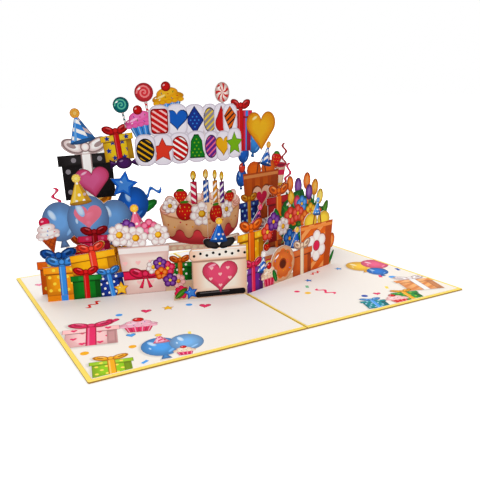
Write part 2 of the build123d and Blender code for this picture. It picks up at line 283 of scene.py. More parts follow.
def middle(points):
    """The mean of an outline's corners."""
    return (sum(p[0] for p in points) / len(points), sum(p[1] for p in points) / len(points))


def sides_of(points):
    """Each corner of an outline with the next."""
    return zip(points, points[1:] + points[:1])


def side_of(a, b, point):
    """Above 0 where the point lies to the left of the way from a to b."""
    return (b[0] - a[0]) * (point[1] - a[1]) - (b[1] - a[1]) * (point[0] - a[0])


def turns_left(points):
    """The outline, run anticlockwise."""
    area = sum(a[0] * b[1] - b[0] * a[1] for a, b in sides_of(points))
    return points if area > 0 else points[::-1]


def scaled(points, amount):
    """The outline made smaller or larger about its middle."""
    centre = middle(points)
    return [between(centre, point, amount) for point in points]


# An outline that turns back on itself isn't moved, and a sharp corner moves in by at most this
# many times the distance
turned_back = 1e-6
sharpest = 1 / 0.45


def inset(points, distance):
    """The outline moved inwards by a distance."""
    points = turns_left(points)
    moved = []
    for before, here, after in zip(points[-1:] + points[:-1], points, points[1:] + points[:1]):
        first = Vector((here[0] - before[0], here[1] - before[1])).normalized()
        second = Vector((after[0] - here[0], after[1] - here[1])).normalized()
        inward = Vector((-first.y - second.y, first.x + second.x))
        if inward.length < turned_back:
            moved.append(here)
            continue
        inward.normalize()
        reach = distance / max(1 / sharpest, inward.dot(Vector((-first.y, first.x))))
        moved.append((here[0] + inward.x * reach, here[1] + inward.y * reach))
    return moved


def clipped(points, area):
    """The part of a shape that lies inside a convex one."""
    for a, b in sides_of(turns_left(area)):
        kept = []
        for p, q in sides_of(points):
            near, far = side_of(a, b, p), side_of(a, b, q)
            if near >= 0:
                kept.append(p)
            if near * far < 0:
                kept.append(between(p, q, near / (near - far)))
        points = kept
        if len(points) < 3:
            return []
    return points


def pen_on(sheet, out, up, height, lean=0.0, lit_side=-1):
    """A pen that draws on a sheet in a motif's own frame, where the motif is 1 high."""
    cos_lean, sin_lean = math.cos(math.radians(lean)), math.sin(math.radians(lean))

    def pen(points, colour, rim=None, fade=0.5):
        if len(points) < 3:
            return
        placed = [(out + height * (x * cos_lean + y * sin_lean), up + height * (y * cos_lean - x * sin_lean))
                  for x, y in points]
        sheet.append((turns_left(placed), colour, rim, fade))

    pen.line = line_width / height
    pen.lit = lit_side
    return pen


def stripes(pen, area, colour, pitch, width, angle):
    """Slanting bands of ink across a convex area."""
    x, y = middle(area)
    reach = max(math.dist((x, y), p) for p in area)
    along = around(0, 0, 1, angle)
    across = (-along[1], along[0])
    count = int(reach / pitch) + 1
    for i in range(-count, count + 1):
        cx, cy = x + across[0] * pitch * i, y + across[1] * pitch * i
        band = [(cx + along[0] * reach * s + across[0] * width / 2 * t,
                 cy + along[1] * reach * s + across[1] * width / 2 * t)
                for s, t in ((-1, -1), (1, -1), (1, 1), (-1, 1))]
        pen(clipped(band, area), colour)


def scattered(area, pitch, mark, margin):
    """Calls mark at staggered places inside a convex area, away from its edge."""
    x, y = middle(area)
    reach = max(math.dist((x, y), p) for p in area)
    count = int(reach / pitch) + 1
    ring = turns_left(area)
    for row in range(-count, count + 1):
        for column in range(-count, count + 1):
            at = (x + (column + 0.5 * (row % 2)) * pitch, y + row * pitch * 0.8)
            if all(side_of(a, b, at) > margin * math.dist(a, b) for a, b in sides_of(ring)):
                mark(*at)


def dots(pen, area, colour, pitch, radius):
    """Small discs, scattered over a convex area."""
    scattered(area, pitch, lambda x, y: pen(disc(x, y, radius, 9), colour), radius * 0.8)


# Each form as it is cut, in its own frame: x across from its middle and y up from its baseline,
# as shares of its height. What is printed on it is drawn in the same frame
forms = {
    "gift": (("box", 0, 0.34, 0.78, 0.68), ("box", 0, 0.62, 0.88, 0.17),
             ("lobes", 0.19, 0.83, 0.19, 0.11, 28), ("disc", 0, 0.76, 0.09)),
    "tall_gift": (("box", 0, 0.38, 0.56, 0.76), ("box", 0, 0.71, 0.64, 0.12),
                  ("lobes", 0.14, 0.88, 0.14, 0.08, 28), ("disc", 0, 0.82, 0.07)),
    "flat_gift": (("box", 0, 0.3, 1.35, 0.6), ("lobe", -0.22, 0.76, 0.23, 0.13, -28),
                  ("lobe", 0.22, 0.76, 0.23, 0.13, 28), ("disc", 0, 0.66, 0.12)),
    "drum": (("pad", 0, 0.38, 0.92, 0.76, 0.12), ("pad", 0, 0.74, 1.0, 0.22, 0.08),
             ("lobes", 0.13, 0.9, 0.15, 0.08, 30)),
    "bag": (("lobes", 0.17, 0.82, 0.17, 0.14),
            ("outline", (-0.36, 0), (0.36, 0), (0.43, 0.78), (-0.43, 0.78))),
    "pot": (("outline", (-0.4, 0), (0.4, 0), (0.52, 1), (-0.52, 1)),),
    "balloon": (("outline", (-0.1, 0.03), (0.1, 0.03), (0, 0.3)), ("oval", 0, 0.58, 0.36, 0.42)),
    "heart": (("outline", (0, 0), (0.479, 0.499), (0.27, 0.7), (0, 0.75), (-0.27, 0.7), (-0.479, 0.499)),
              ("disc", -0.27, 0.7, 0.29), ("disc", 0.27, 0.7, 0.29)),
    "star": (("star", 0, 0.47, 0.52, 0.27),),
    "lollipop": (("box", 0, 0.3, 0.08, 0.6), ("disc", 0, 0.74, 0.26)),
    "cupcake": (("outline", (-0.27, 0), (0.27, 0), (0.4, 0.46), (-0.4, 0.46)), ("disc", 0, 0.85, 0.15),
                ("oval", 0, 0.64, 0.34, 0.18), ("oval", 0, 0.5, 0.5, 0.17)),
    "cone": (("outline", (0, 0), (0.24, 0.5), (-0.24, 0.5)), ("disc", 0, 0.86, 0.14),
             ("oval", 0, 0.7, 0.24, 0.13), ("oval", 0, 0.54, 0.32, 0.14)),
    "hat": (("outline", (-0.36, 0.06), (0.36, 0.06), (0, 0.88)), ("lobe", 0, 0.08, 0.365, 0.08),
            ("disc", 0, 0.86, 0.14)),
    "candle": (("box", 0, 0.34, 0.2, 0.68), ("box", 0, 0.72, 0.06, 0.2), ("lobe", 0, 0.85, 0.09, 0.15)),
    "daisy": (("ring", 0, 0.5, 0.32, 0.19, 7, 8), ("disc", 0, 0.5, 0.3)),
    "flower": (("ring", 0, 0.5, 0.26, 0.25, 5, 10), ("disc", 0, 0.5, 0.2)),
    "tulip": (("box", 0, 0.3, 0.07, 0.6), ("lobe", -0.12, 0.3, 0.07, 0.27, 18),
              ("lobe", 0.12, 0.26, 0.07, 0.24, -20), ("lobe", 0, 0.76, 0.16, 0.24)),
    "leaf": (("lobe", 0, 0.5, 0.2, 0.5),),
    "bush": (("ring", 0, 0.45, 0.42, 0.27, 7, 14), ("disc", 0, 0.42, 0.42)),
    "strawberry": (("outline", (0, 0), (0.37, 0.48), (0.16, 0.7), (-0.16, 0.7), (-0.37, 0.48)),
                   ("disc", -0.16, 0.6, 0.24), ("disc", 0.16, 0.6, 0.24), ("lobe", 0, 0.84, 0.24, 0.12)),
    "candy": (("outline", (-0.45, 0.5), (-1.1, 0.9), (-1.1, 0.1)),
              ("outline", (0.45, 0.5), (1.1, 0.1), (1.1, 0.9)), ("oval", 0, 0.5, 0.62, 0.46)),
    "donut": (("disc", 0, 0.5, 0.5),),
    "slice": (("outline", (-0.62, 0), (0.5, 0), (0.62, 0.5), (-0.62, 0.66)),
              ("oval", -0.05, 0.6, 0.55, 0.14, -7), ("disc", -0.3, 0.82, 0.17)),
    "streamer": (("wave", 0, 0, 0.15, 0.13, 2, 1),),
    "popper": (("outline", (-0.07, 0), (0.07, 0), (0.26, 0.9), (-0.26, 0.9)), ("lobe", 0, 0.9, 0.27, 0.1)),
    "stand": (("outline", (-0.62, 0), (0.62, 0), (0.4, 0.8), (-0.4, 0.8)), ("pad", 0, 0.88, 2.6, 0.24, 0.1)),
    "cake": (("disc", -0.66, 0.88, 0.09), ("disc", -0.24, 0.95, 0.09), ("disc", 0, 0.965, 0.09),
             ("disc", 0.24, 0.95, 0.09), ("disc", 0.66, 0.88, 0.09), ("oval", 0, 0.328, 0.78, 0.3),
             ("outline", (-0.78, 0.328), (0.78, 0.328), (0.85, 0.734), (-0.85, 0.734)),
             ("oval", 0, 0.734, 0.85, 0.24)),
}


def lobes(x, y, half_width, half_height, turn=0.0):
    """Two like lobes, one on each side of the middle."""
    return [lobe(side * x, y, half_width, half_height, side * turn) for side in (-1, 1)]


cutters = {"box": box, "pad": pad, "oval": oval, "disc": disc, "lobe": lobe, "star": star, "wave": wave,
           "outline": lambda *points: list(points)}
gang_cutters = {"ring": petals, "lobes": lobes}


def rings_of(kind):
    """The outlines that make up a form, each with the number of its tone."""
    found = []
    for tone, (shape, *shares) in enumerate(forms[kind]):
        cut = gang_cutters[shape](*shares) if shape in gang_cutters else [cutters[shape](*shares)]
        found += [(tone, ring) for ring in cut]
    return found


contour_depth = 0.68


def print_form(pen, kind, *tones, rim=0.8, fade=0.5):
    """A form in its flat tones, with a darker contour round it and soft rims."""
    rings = [(tones[min(tone, len(tones) - 1)], ring) for tone, ring in rings_of(kind)]
    for ink, ring in rings:
        pen(ring, deep(ink, contour_depth))
    for ink, ring in rings:
        edge = None if kind in ("star", "streamer") else deep(ink, rim)
        pen(inset(ring, pen.line), ink, edge, fade)


def gloss(pen, x, y, half_width, half_height, turn, sides, *inks):
    """A spot of light on a motif's lit side, or on its far side where x is negative."""
    pen(oval(pen.lit * x, y, half_width, half_height, pen.lit * turn, sides), *inks)


def print_bow(pen, x, y, size, ribbon):
    """Two loops and a knot, tied on top of a parcel."""
    for side in (-1, 1):
        for out, rise, half_width, half_height, turn, inks in (
                (1, 0, 0.98, 0.58, 28, (deep(ribbon, 0.6),)),
                (1, 0, 0.82, 0.44, 28, (ribbon, deep(ribbon, 0.85))),
                (1.15, 0.04, 0.42, 0.2, 28, (deep(ribbon, 0.68),)),
                (0.95, 0.26, 0.4, 0.1, 24, (tint(ribbon, 0.4),))):
            loop = oval(x + side * size * out, y + size * rise, size * half_width, size * half_height,
                        turn * side)
            pen(loop, *inks)
    pen(disc(x, y - size * 0.15, size * 0.42), deep(ribbon, 0.6))
    pen(disc(x, y - size * 0.15, size * 0.32), tint(ribbon, 0.12), deep(ribbon, 0.9))


def wrap_pattern(pen, area, pattern, colour, pitch):
    """What a parcel's paper, a bag or a hat is printed with."""
    if pattern == "dots":
        dots(pen, area, colour, pitch, pitch * 0.2)
    if pattern == "stripes":
        stripes(pen, area, colour, pitch, pitch * 0.42, 35)
    if pattern == "upright":
        stripes(pen, area, colour, pitch, pitch * 0.4, 90)
    if pattern == "stars":
        def mark(x, y):
            pen(star(x, y, pitch * 0.42, pitch * 0.2), colour)
        scattered(area, pitch * 1.3, mark, pitch * 0.3)
    if pattern == "hearts":
        def mark(x, y):
            pen(heart(x, y - pitch * 0.2, pitch * 0.5, 14), colour)
        scattered(area, pitch * 1.3, mark, pitch * 0.28)
    if pattern == "flowers":
        def mark(x, y):
            for petal in petals(x, y, pitch * 0.2, pitch * 0.17, 5, 7):
                pen(petal, colour)
            pen(disc(x, y, pitch * 0.11, 7), yellow)
        scattered(area, pitch * 1.5, mark, pitch * 0.34)


# Of each kind of parcel: width, height under the lid, the lid's middle and height, the bow's middle
# and loops, the pitch of the paper's pattern and the ribbon's width
gift_sizes = {
    "gift": (0.78, 0.56, 0.62, 0.17, 0.84, 0.18, 0.2, 0.16),
    "tall_gift": (0.56, 0.66, 0.71, 0.12, 0.885, 0.13, 0.17, 0.16),
    "flat_gift": (1.35, 0.4, 0.49, 0.22, 0.76, 0.21, 0.17, 0.22),
}


def print_gift(pen, wrap, ribbon, pattern=None, mark=white, kind="gift"):
    """A wrapped parcel: shaded side, patterned paper, lid, ribbon and bow."""
    width, height, lid_y, lid_high, bow_y, bow, pitch, band = gift_sizes[kind]
    print_form(pen, kind, wrap, tint(wrap, 0.12), ribbon)
    wrap_pattern(pen, box(0, height / 2 + pen.line, width - 2 * pen.line, height), pattern, mark, pitch)
    shaded = box(-pen.lit * width * 0.39, height / 2 + pen.line, width * 0.2 - 2 * pen.line, height)
    pen(shaded, deep(wrap, 0.74), deep(wrap, 0.62))
    pen(box(0, lid_y - lid_high / 2 - 0.012, width, 0.03), deep(wrap, 0.6))
    lid_width = width if kind == "flat_gift" else width * 1.12
    lid = box(0, lid_y, lid_width - 2 * pen.line, lid_high - 2 * pen.line)
    pen(lid, tint(wrap, 0.14), deep(wrap, 0.95))
    wrap_pattern(pen, lid, pattern, mark, pitch)
    lid_top = lid_y + lid_high / 2
    for x, across, ink in ((0, band, deep(ribbon, 0.66)), (0, band - 0.035, ribbon),
                           (pen.lit * band * 0.24, band * 0.16, tint(ribbon, 0.35))):
        pen(box(x, lid_top / 2, across, lid_top - 0.01), ink)
    print_bow(pen, 0, bow_y, bow, ribbon)


def print_hat(pen, colour, pattern, mark, pom):
    """A paper party hat: rolled cone, turned rim and a fluffy ball on the tip."""
    print_form(pen, "hat", colour, deep(colour, 0.8), pom)
    cone = [(-0.33, 0.075), (0.33, 0.075), (0, 0.84)]
    pen(cone, colour)
    wrap_pattern(pen, cone, pattern, mark, 0.24)
    shade = turns_left([(-pen.lit * 0.33, 0.075), (-pen.lit * 0.17, 0.075), (0, 0.84)])
    pen(shade, deep(colour, 0.78))
    wrap_pattern(pen, shade, pattern, deep(mark, 0.8), 0.24)
    pen(clipped([(pen.lit * 0.26, 0.05), (pen.lit * 0.17, 0.05), (0, 0.86)], cone), tint(colour, 0.35))
    pen(oval(0, 0.075, 0.33, 0.05), deep(colour, 0.72), deep(colour, 0.6))
    for tuft in petals(0, 0.86, 0.085, 0.05, 9, 7):
        pen(tuft, tint(pom, 0.35), deep(pom, 0.95))
    pen(disc(0, 0.86, 0.075, 12), tint(pom, 0.5), pom)


def print_balloon(pen, colour, charm=None):
    """A blown-up balloon: dark rim, round body, knot and a bright reflection."""
    print_form(pen, "balloon", deep(colour, 0.85), colour, rim=0.76, fade=0.3)
    if charm:
        pen(heart(0, 0.38, 0.44), charm, deep(charm, 0.9))
    gloss(pen, 0.13, 0.74, 0.06, 0.13, -24, 22, tint(colour, 0.7), tint(colour, 0.25))
    gloss(pen, 0.2, 0.55, 0.022, 0.05, -8, 10, tint(colour, 0.56))
    gloss(pen, -0.16, 0.36, 0.12, 0.035, -50, 12, tint(colour, 0.28), colour)


def print_star(pen, colour):
    """A five-pointed star with a lighter middle."""
    print_form(pen, "star", colour)
    pen(star(0, 0.47, 0.34, 0.17), tint(colour, 0.25))
    gloss(pen, 0.1, 0.56, 0.06, 0.03, 30, 9, tint(colour, 0.75))


def print_heart(pen, colour):
    """A puffy heart with a glossy light."""
    print_form(pen, "heart", deep(colour, 0.82), rim=0.94)
    for i in range(5):
        puff = heart(0.012 * i * pen.lit, 0.05 + 0.055 * i, 0.9 - 0.1 * i)
        pen(puff, between(deep(colour, 0.9), tint(colour, 0.08), i / 4))
    gloss(pen, 0.24, 0.84, 0.12, 0.04, -22, 14, tint(colour, 0.7), tint(colour, 0.3))


def print_daisy(pen, petal=white, eye=yellow):
    """A daisy: seven petals round a domed eye."""
    print_form(pen, "daisy", petal, tint(petal, 0.2), rim=0.86)
    for i in range(7):
        gap = 90 + 360 / 7 * (i + 0.5)
        pen([around(0, 0.5, 0.04, gap - 90), around(0, 0.5, 0.36, gap), around(0, 0.5, 0.04, gap + 90)],
            deep(petal, 0.78))
    pen(disc(0, 0.5, 0.15), deep(eye, 0.75))
    gloss(pen, 0.02, 0.52, 0.11, 0.11, 0, 12, tint(eye, 0.25), eye)


def print_flower(pen, petal, eye=yellow):
    """A five-petalled flower with a darker throat."""
    print_form(pen, "flower", petal, rim=0.78)
    for light in petals(0, 0.5, 0.26, 0.15, 5, 8):
        pen(light, tint(petal, 0.28), petal)
    pen(star(0, 0.5, 0.24, 0.1, 36), deep(petal, 0.72))
    pen(disc(0, 0.5, 0.1, 9), eye)


def print_leaf(pen, colour):
    """A leaf with a pale midrib."""
    print_form(pen, "leaf", colour, rim=0.72)
    pen([(-0.02, 0.06), (0.02, 0.06), (0, 0.92)], tint(colour, 0.4))


def print_lollipop(pen, colour, second, style="spiral"):
    """A round lollipop on a striped paper stick, with a spiral or seven blades in a second colour."""
    print_form(pen, "lollipop", white, colour, rim=0.74)
    stripes(pen, box(0, 0.27, 0.08 - 2 * pen.line, 0.5), colour, 0.12, 0.05, 30)
    reach = 0.235
    if style == "spiral":
        turns, steps, arm_width = 2.1, 24, 0.045
        arm = [(reach * (0.96 - 0.92 * i / steps), 360 * turns / steps * i) for i in range(steps + 1)]
        outer = [around(0, 0.74, far, angle) for far, angle in arm]
        inner = [around(0, 0.74, far - arm_width, angle) for far, angle in arm[:-3]]
        pen(outer + inner[::-1], second)
    else:
        for i in range(7):
            blade = [around(0, 0.74, far, 360 / 7 * i + math.degrees(lead))
                     for far, lead in ((0.12, 0), (reach, 0.25), (reach, 0.65), (0.12, 0.4))]
            pen([(0, 0.74)] + blade, second)
    gloss(pen, 0.11, 0.86, 0.05, 0.022, -30, 10, (255, 252, 250))


def sprinkles(pen, places, half_width, half_height, turn, inks):
    """Sugar strands at the given places, each turned on from the last, in inks that take turns."""
    for i, (x, y) in enumerate(places):
        pen(oval(x, y, half_width, half_height, turn * i, 6), inks[i % len(inks)])


def print_cupcake(pen, icing, paper):
    """A cupcake: pleated paper, swelling icing with sprinkles and a cherry."""
    print_form(pen, "cupcake", paper, red, tint(icing, 0.1), icing, rim=0.82)
    case = [(-0.25, 0.02), (0.25, 0.02), (0.375, 0.42), (-0.375, 0.42)]
    for i in range(-3, 4):
        low, high = i * 0.075, i * 0.112
        pen(clipped([(low - 0.012, 0), (low + 0.012, 0), (high + 0.02, 0.5), (high - 0.02, 0.5)], case),
            tint(paper, 0.55) if i % 2 else deep(paper, 0.72))
    pen(oval(0, 0.5, 0.5 - pen.line, 0.17 - pen.line), icing, deep(icing, 0.8))
    for i in range(5):
        pen(lobe(-0.38 + 0.19 * i, 0.39, 0.11, 0.07), icing, deep(icing, 0.86))
    pen(oval(0, 0.66, 0.33 - pen.line, 0.15), tint(icing, 0.14), deep(icing, 0.9))
    gloss(pen, 0.2, 0.57, 0.14, 0.035, -14, 12, tint(icing, 0.6))
    sprinkles(pen, ((-0.3, 0.52), (-0.12, 0.47), (0.08, 0.53), (0.27, 0.48), (-0.02, 0.62), (0.17, 0.66),
                    (-0.19, 0.66), (0.38, 0.55)), 0.035, 0.013, 50, (red, navy, green, white))
    pen(disc(0, 0.85, 0.15), deep(red, 0.6))
    pen(disc(0, 0.85, 0.15 - pen.line), red, deep(red, 0.7))
    gloss(pen, 0.05, 0.9, 0.04, 0.025, -30, 9, tint(red, 0.75))


def paper_tone(points):
    """The liners' printed ground: white towards the spine, creamier at the outer front corners."""
    points = np.array(points)
    share = (np.abs(points[..., 0]) / leaf_width + 0.5 - points[..., 1] / leaf_depth)[..., None] / 2
    return np.array(liner_paper) * (1 - share) + np.array(cream_wash) * share


# Keeps a level edge from a division by nothing
not_zero = 1e-30


def inside(ring, points):
    """The numbers of the points that lie within an outline."""
    first = np.array(ring)
    second = np.roll(first, -1, axis=0)
    run, rise = (second - first).T
    near = np.nonzero(((points > first.min(axis=0)) & (points < first.max(axis=0))).all(axis=1))[0]
    x, y = points[near].T[:, :, None]
    spans = (first[:, 1] > y) != (second[:, 1] > y)
    crossed = spans & (x < first[:, 0] + run * (y - first[:, 1]) / (rise + not_zero))
    return near[crossed.sum(axis=1) % 2 == 1]


def seen_edges(rings):
    """The outlines' corners, and the two ends of each edge that no later outline hides."""
    corners = np.concatenate(rings)
    order = np.repeat(np.arange(len(rings)), [len(ring) for ring in rings])
    following = np.concatenate([np.roll(np.nonzero(order == n)[0], -1) for n in range(len(rings))])
    middles = (corners + corners[following]) / 2
    hidden = np.zeros(len(corners), bool)
    for n, ring in enumerate(rings[1:], 1):
        ends_under, middle_under = np.zeros(len(corners), bool), np.zeros(len(corners), bool)
        ends_under[inside(ring, corners)] = True
        middle_under[inside(ring, middles)] = True
        hidden |= ends_under & ends_under[following] & middle_under & (order < n)
    seen = np.nonzero(~hidden)[0]
    used, ends = np.unique(np.stack([seen, following[seen]], axis=1), return_inverse=True)
    return corners[used], ends.reshape(-1, 2)


# Keeps an edge through the middle of its outline from the same
least_reach = 1e-12


def faded(spots, points, colour, rim, fade):
    """An ink's colour at spots of its field, turning to its rim's from a share of the way out."""
    ring = np.array(points)
    centre = ring.mean(axis=0)
    along = np.roll(ring, -1, axis=0) - ring
    outward = np.stack([along[:, 1], -along[:, 0]], axis=1)
    far = np.maximum(((ring - centre) * outward).sum(axis=1), least_reach)
    share = ((spots - centre) @ (outward / far[:, None]).T).max(axis=-1)
    near_rim = np.clip((share - fade) / (1 - fade), 0, 1)[..., None]
    return np.array(colour) * (1 - near_rim) + np.array(rim) * near_rim


# The cutter works in millimetres, so that its least distance suits ink of this size
cutter_scale = 1000
cutter_least = 1e-4


def mosaic(page, sheet, bare=None):
    """Cuts overlapping inks into fields that meet edge to edge, the last ink on top.

    Where bare gives the page's own tone, the page is printed too, and otherwise left out.
    """
    rings, owner = [turns_left(page)], [-1]
    for n, (points, colour, rim, fade) in enumerate(sheet):
        for ring in (points,) if rim is None else (points, scaled(points, fade)):
            rings.append(ring)
            owner.append(n)
    corners, edges = seen_edges(rings)
    found = delaunay_2d_cdt([Vector(corner) for corner in corners * cutter_scale], edges.tolist(), [],
                            0, cutter_least, False)
    spots = np.array([(v.x, v.y) for v in found[0]]) / cutter_scale
    faces = np.array(found[2])
    centres = spots[faces].mean(axis=1)
    top = np.full(len(faces), -1)
    for n, ring in enumerate(rings):
        covered = inside(ring, centres)
        top[covered[top[covered] >= 0] if n else covered] = n
    kept = top > (0 if bare is None else -1)
    faces, top = faces[kept], np.array(owner)[top[kept]]
    colours = np.zeros((len(faces), 3, 4))
    for n in np.unique(top):
        field = spots[faces[top == n]]
        if n < 0:
            colours[top == n] = linear(bare(field))
        elif sheet[n][2] is None:
            colours[top == n] = linear(sheet[n][1])
        else:
            colours[top == n] = linear(faded(field, *sheet[n]))
    return spots.tolist(), faces.tolist(), colours.tolist()


# Four-colour print, which takes its colours from the skin's own attribute
ink_roughness, ink_gloss = 0.45, 0.06
print_ink = bpy.data.materials.new("printed_ink")
print_ink.use_nodes = True
nodes, links = print_ink.node_tree.nodes, print_ink.node_tree.links
shader = nodes["Principled BSDF"]
shader.inputs["Roughness"].default_value = ink_roughness
shader.inputs["Specular IOR Level"].default_value = ink_gloss
ink_colours = nodes.new("ShaderNodeAttribute")
ink_colours.attribute_name = "ink"
links.new(ink_colours.outputs["Color"], shader.inputs["Base Color"])


def print_skin(name, prints):
    """One closed skin of ink: each print has its mosaic, its place and the way it faces."""
    work = bmesh.new()
    ink = work.loops.layers.float_color.new("ink")
    fronts = set()
    for (spots, faces, colours), origin, across, up in prints:
        out = across.cross(up)
        facing = 1 if out.y < 0 or out.z > 0 else -1
        out = out * facing
        points = {}
        cut = []
        for face, tones in zip(faces, colours):
            for i in face:
                if i not in points:
                    on_card = origin + across * spots[i][0] + up * spots[i][1]
                    points[i] = work.verts.new(on_card + out * skin_rise)
            order = list(zip(face, tones))[::facing]
            new = work.faces.new([points[i] for i, tone in order])
            for loop, (i, tone) in zip(new.loops, order):
                loop[ink] = tone
            cut.append(new)
        behind = bmesh.ops.extrude_face_region(work, geom=cut, use_keep_orig=True)["geom"]
        backs = [part for part in behind if isinstance(part, bmesh.types.BMVert)]
        bmesh.ops.translate(work, verts=backs, vec=-out * (skin_rise + skin_sink))
        fronts.update(cut)
    bare = linear(white)
    for face in work.faces:
        if face not in fronts:
            for loop in face.loops:
                loop[ink] = bare
    bmesh.ops.recalc_face_normals(work, faces=list(work.faces))
    mesh = bpy.data.meshes.new(name)
    work.to_mesh(mesh)
    work.free()
    piece = bpy.data.objects.new(name, mesh)
    bpy.context.scene.collection.objects.link(piece)
    mesh.materials.append(print_ink)
    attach(piece, "root")


def confetti(sheet, places):
    """Loose paper pieces, scattered over a liner."""
    for x, y, size, turn, shape, colour in places:
        pen = pen_on(sheet, x, y, size, turn)
        if shape == "star":
            pen(star(0, 0.5, 0.5, 0.25), deep(colour, 0.7))
            pen(star(0, 0.5, 0.38, 0.19), colour)
        if shape == "heart":
            pen(heart(0, 0, 1, 18), deep(colour, 0.7))
            pen(heart(0, 0.1, 0.78, 18), colour)
        if shape == "dot":
            pen(disc(0, 0.5, 0.5, 12), colour)
        if shape == "slip":
            pen(box(0, 0.5, 0.45, 1), colour)
        if shape == "curl":
            pen(wave(0, 0, 0.16, 0.11, 2, 1, 16), colour)


shadow_forms = {print_gift: "gift", print_hat: "hat", print_cupcake: "cupcake", print_balloon: "balloon"}


def drop_shadow(pen, kind, paper):
    """A soft grey shadow, printed below and to the left of a motif."""
    for growth, strength in ((1.09, 0.97), (1.05, 0.94), (1.0, 0.89)):
        for tone, ring in rings_of(kind):
            pen([(x * growth - 0.035, (y - 0.45) * growth + 0.415) for x, y in ring], paper * strength)


def liner_print(hand, motifs, places):
    """What one liner is printed with, laid out from the spine (x) and the middle (y)."""
    inner, outer = liner_spine_gap / 2, leaf_width - liner_border
    deep_half = leaf_depth / 2 - liner_border
    page = box(hand * (inner + outer) / 2, 0, outer - inner - 2 * skin_rise, 2 * (deep_half - skin_rise))
    sheet = []
    for x, y, size, lean, draw, *tones in motifs:
        drop_shadow(pen_on(sheet, x, y, size, lean), shadow_forms[draw], paper_tone((x, y)))
    confetti(sheet, places)
    for x, y, size, lean, draw, *tones in motifs:
        draw(pen_on(sheet, x, y, size, lean), *tones)
    return mosaic(page, sheet, paper_tone), Vector((0, 0, leaf_top)), Vector((1, 0, 0)), Vector((0, 1, 0))


left_motifs = (
    (-0.1165, -0.0575, 0.038, 16, print_gift, blush, rose, "hearts", rose),
    (-0.0868, -0.0532, 0.0235, 18, print_cupcake, tint(pink, 0.5), rose),
    (-0.087, -0.0965, 0.03, 10, print_balloon, sky),
    (-0.0755, -0.0955, 0.027, 24, print_balloon, tint(sky, 0.25)),
    (-0.0815, -0.0755, 0.014, 12, print_hat, tint(pink, 0.4), "stripes", rose, yellow),
    (-0.0765, -0.0968, 0.0125, 16, print_cupcake, cream, rose),
    (-0.1172, -0.0995, 0.026, 14, print_gift, lime, gold, "dots", lemon),
)
left_scraps = (
    (-0.1189, 0.069, 0.006, 10, "heart", pink), (-0.1024, 0.0041, 0.0145, 55, "curl", red),
    (-0.0584, -0.029, 0.0085, 20, "star", yellow), (-0.0369, -0.038, 0.0075, 30, "heart", rose),
    (-0.0725, -0.0262, 0.0065, 24, "heart", rose), (-0.0428, -0.0292, 0.0045, 0, "dot", sky),
    (-0.0885, -0.0225, 0.0045, 10, "dot", sky), (-0.0958, -0.0313, 0.0075, 20, "heart", rose),
    (-0.0931, -0.0585, 0.0055, 10, "heart", sky), (-0.0975, -0.0736, 0.0045, 5, "dot", gold),
    (-0.1225, -0.0685, 0.005, 0, "dot", gold), (-0.1003, -0.0945, 0.0045, 60, "slip", sky),
    (-0.0631, -0.0723, 0.004, 20, "slip", lemon), (-0.111, 0.03, 0.006, 0, "star", pink),
    (-0.107, 0.055, 0.005, 0, "dot", lemon),
)
right_motifs = (
    (0.1005, -0.0366, 0.03, 20, print_balloon, tint(yellow, 0.15)),
    (0.1141, -0.0375, 0.029, 20, print_balloon, tint(rose, 0.25)),
    (0.1043, -0.0498, 0.022, 20, print_balloon, blue),
    (0.1085, -0.0885, 0.033, 18, print_gift, tint(orange, 0.4), white, "stripes", tint(chestnut, 0.2)),
    (0.0865, -0.0985, 0.022, 16, print_gift, green, gold, "dots", lime),
    (0.0765, -0.0985, 0.0165, 12, print_cupcake, blush, red),
    (0.0575, -0.0985, 0.02, 18, print_gift, teal, sky, "dots", ice),
)
right_scraps = (
    (0.051, -0.0308, 0.0065, 20, "star", blue), (0.0418, -0.041, 0.005, 30, "slip", mint),
    (0.0304, -0.0455, 0.004, 20, "dot", rose), (0.0356, -0.0524, 0.0045, 0, "dot", yellow),
    (0.0873, -0.0193, 0.0065, 20, "star", sky), (0.05, -0.0615, 0.016, -16, "curl", rose),
    (0.0637, -0.078, 0.0045, 0, "dot", navy), (0.1007, -0.0507, 0.0055, 30, "slip", rose),
    (0.109, -0.057, 0.0055, -20, "dot", sky), (0.0723, -0.079, 0.005, 30, "heart", rose),
    (0.0869, -0.0725, 0.005, 30, "slip", lemon), (0.124, -0.045, 0.0055, 15, "slip", navy),
    (0.062, -0.0165, 0.011, 76, "curl", red), (0.052, 0.02, 0.005, 0, "dot", lemon),
    (0.108, 0.03, 0.006, 12, "star", pink),
)
liner_stock = card_stock("liner_paper", liner_paper, roughness=0.5, grain_size=0.0006,
                         grain_height=0.00001, mottle=0.01)
finish_node("liner_left", liner_stock)
finish_node("liner_right", liner_stock)
print_skin("liner_left_print", [liner_print(-1, left_motifs, left_scraps)])
print_skin("liner_right_print", [liner_print(1, right_motifs, right_scraps)])

# Layers: four Vs of white coated card across the spine, each made of two wings that are cut to
# the outline of their print and joined at the crease. The print faces the reader; the backs
# and the feet, folded back and glued down, are bare card.
slant = math.radians(16.5)
card_thick = 0.0004
crease_shares = {"front": 0.355, "second": 0.4675, "third": 0.555, "rear": 0.645}
ground_tan = (224, 196, 166)
berry = (240, 102, 140)
ripe = (236, 36, 24)
caramel = (236, 138, 62)
stand_clay = (226, 150, 120)
swirl = (255, 232, 218)
sponge = (240, 88, 96)
icing = (255, 222, 186)
drip_tone = (242, 196, 148)
banner_edge = (218, 211, 221)


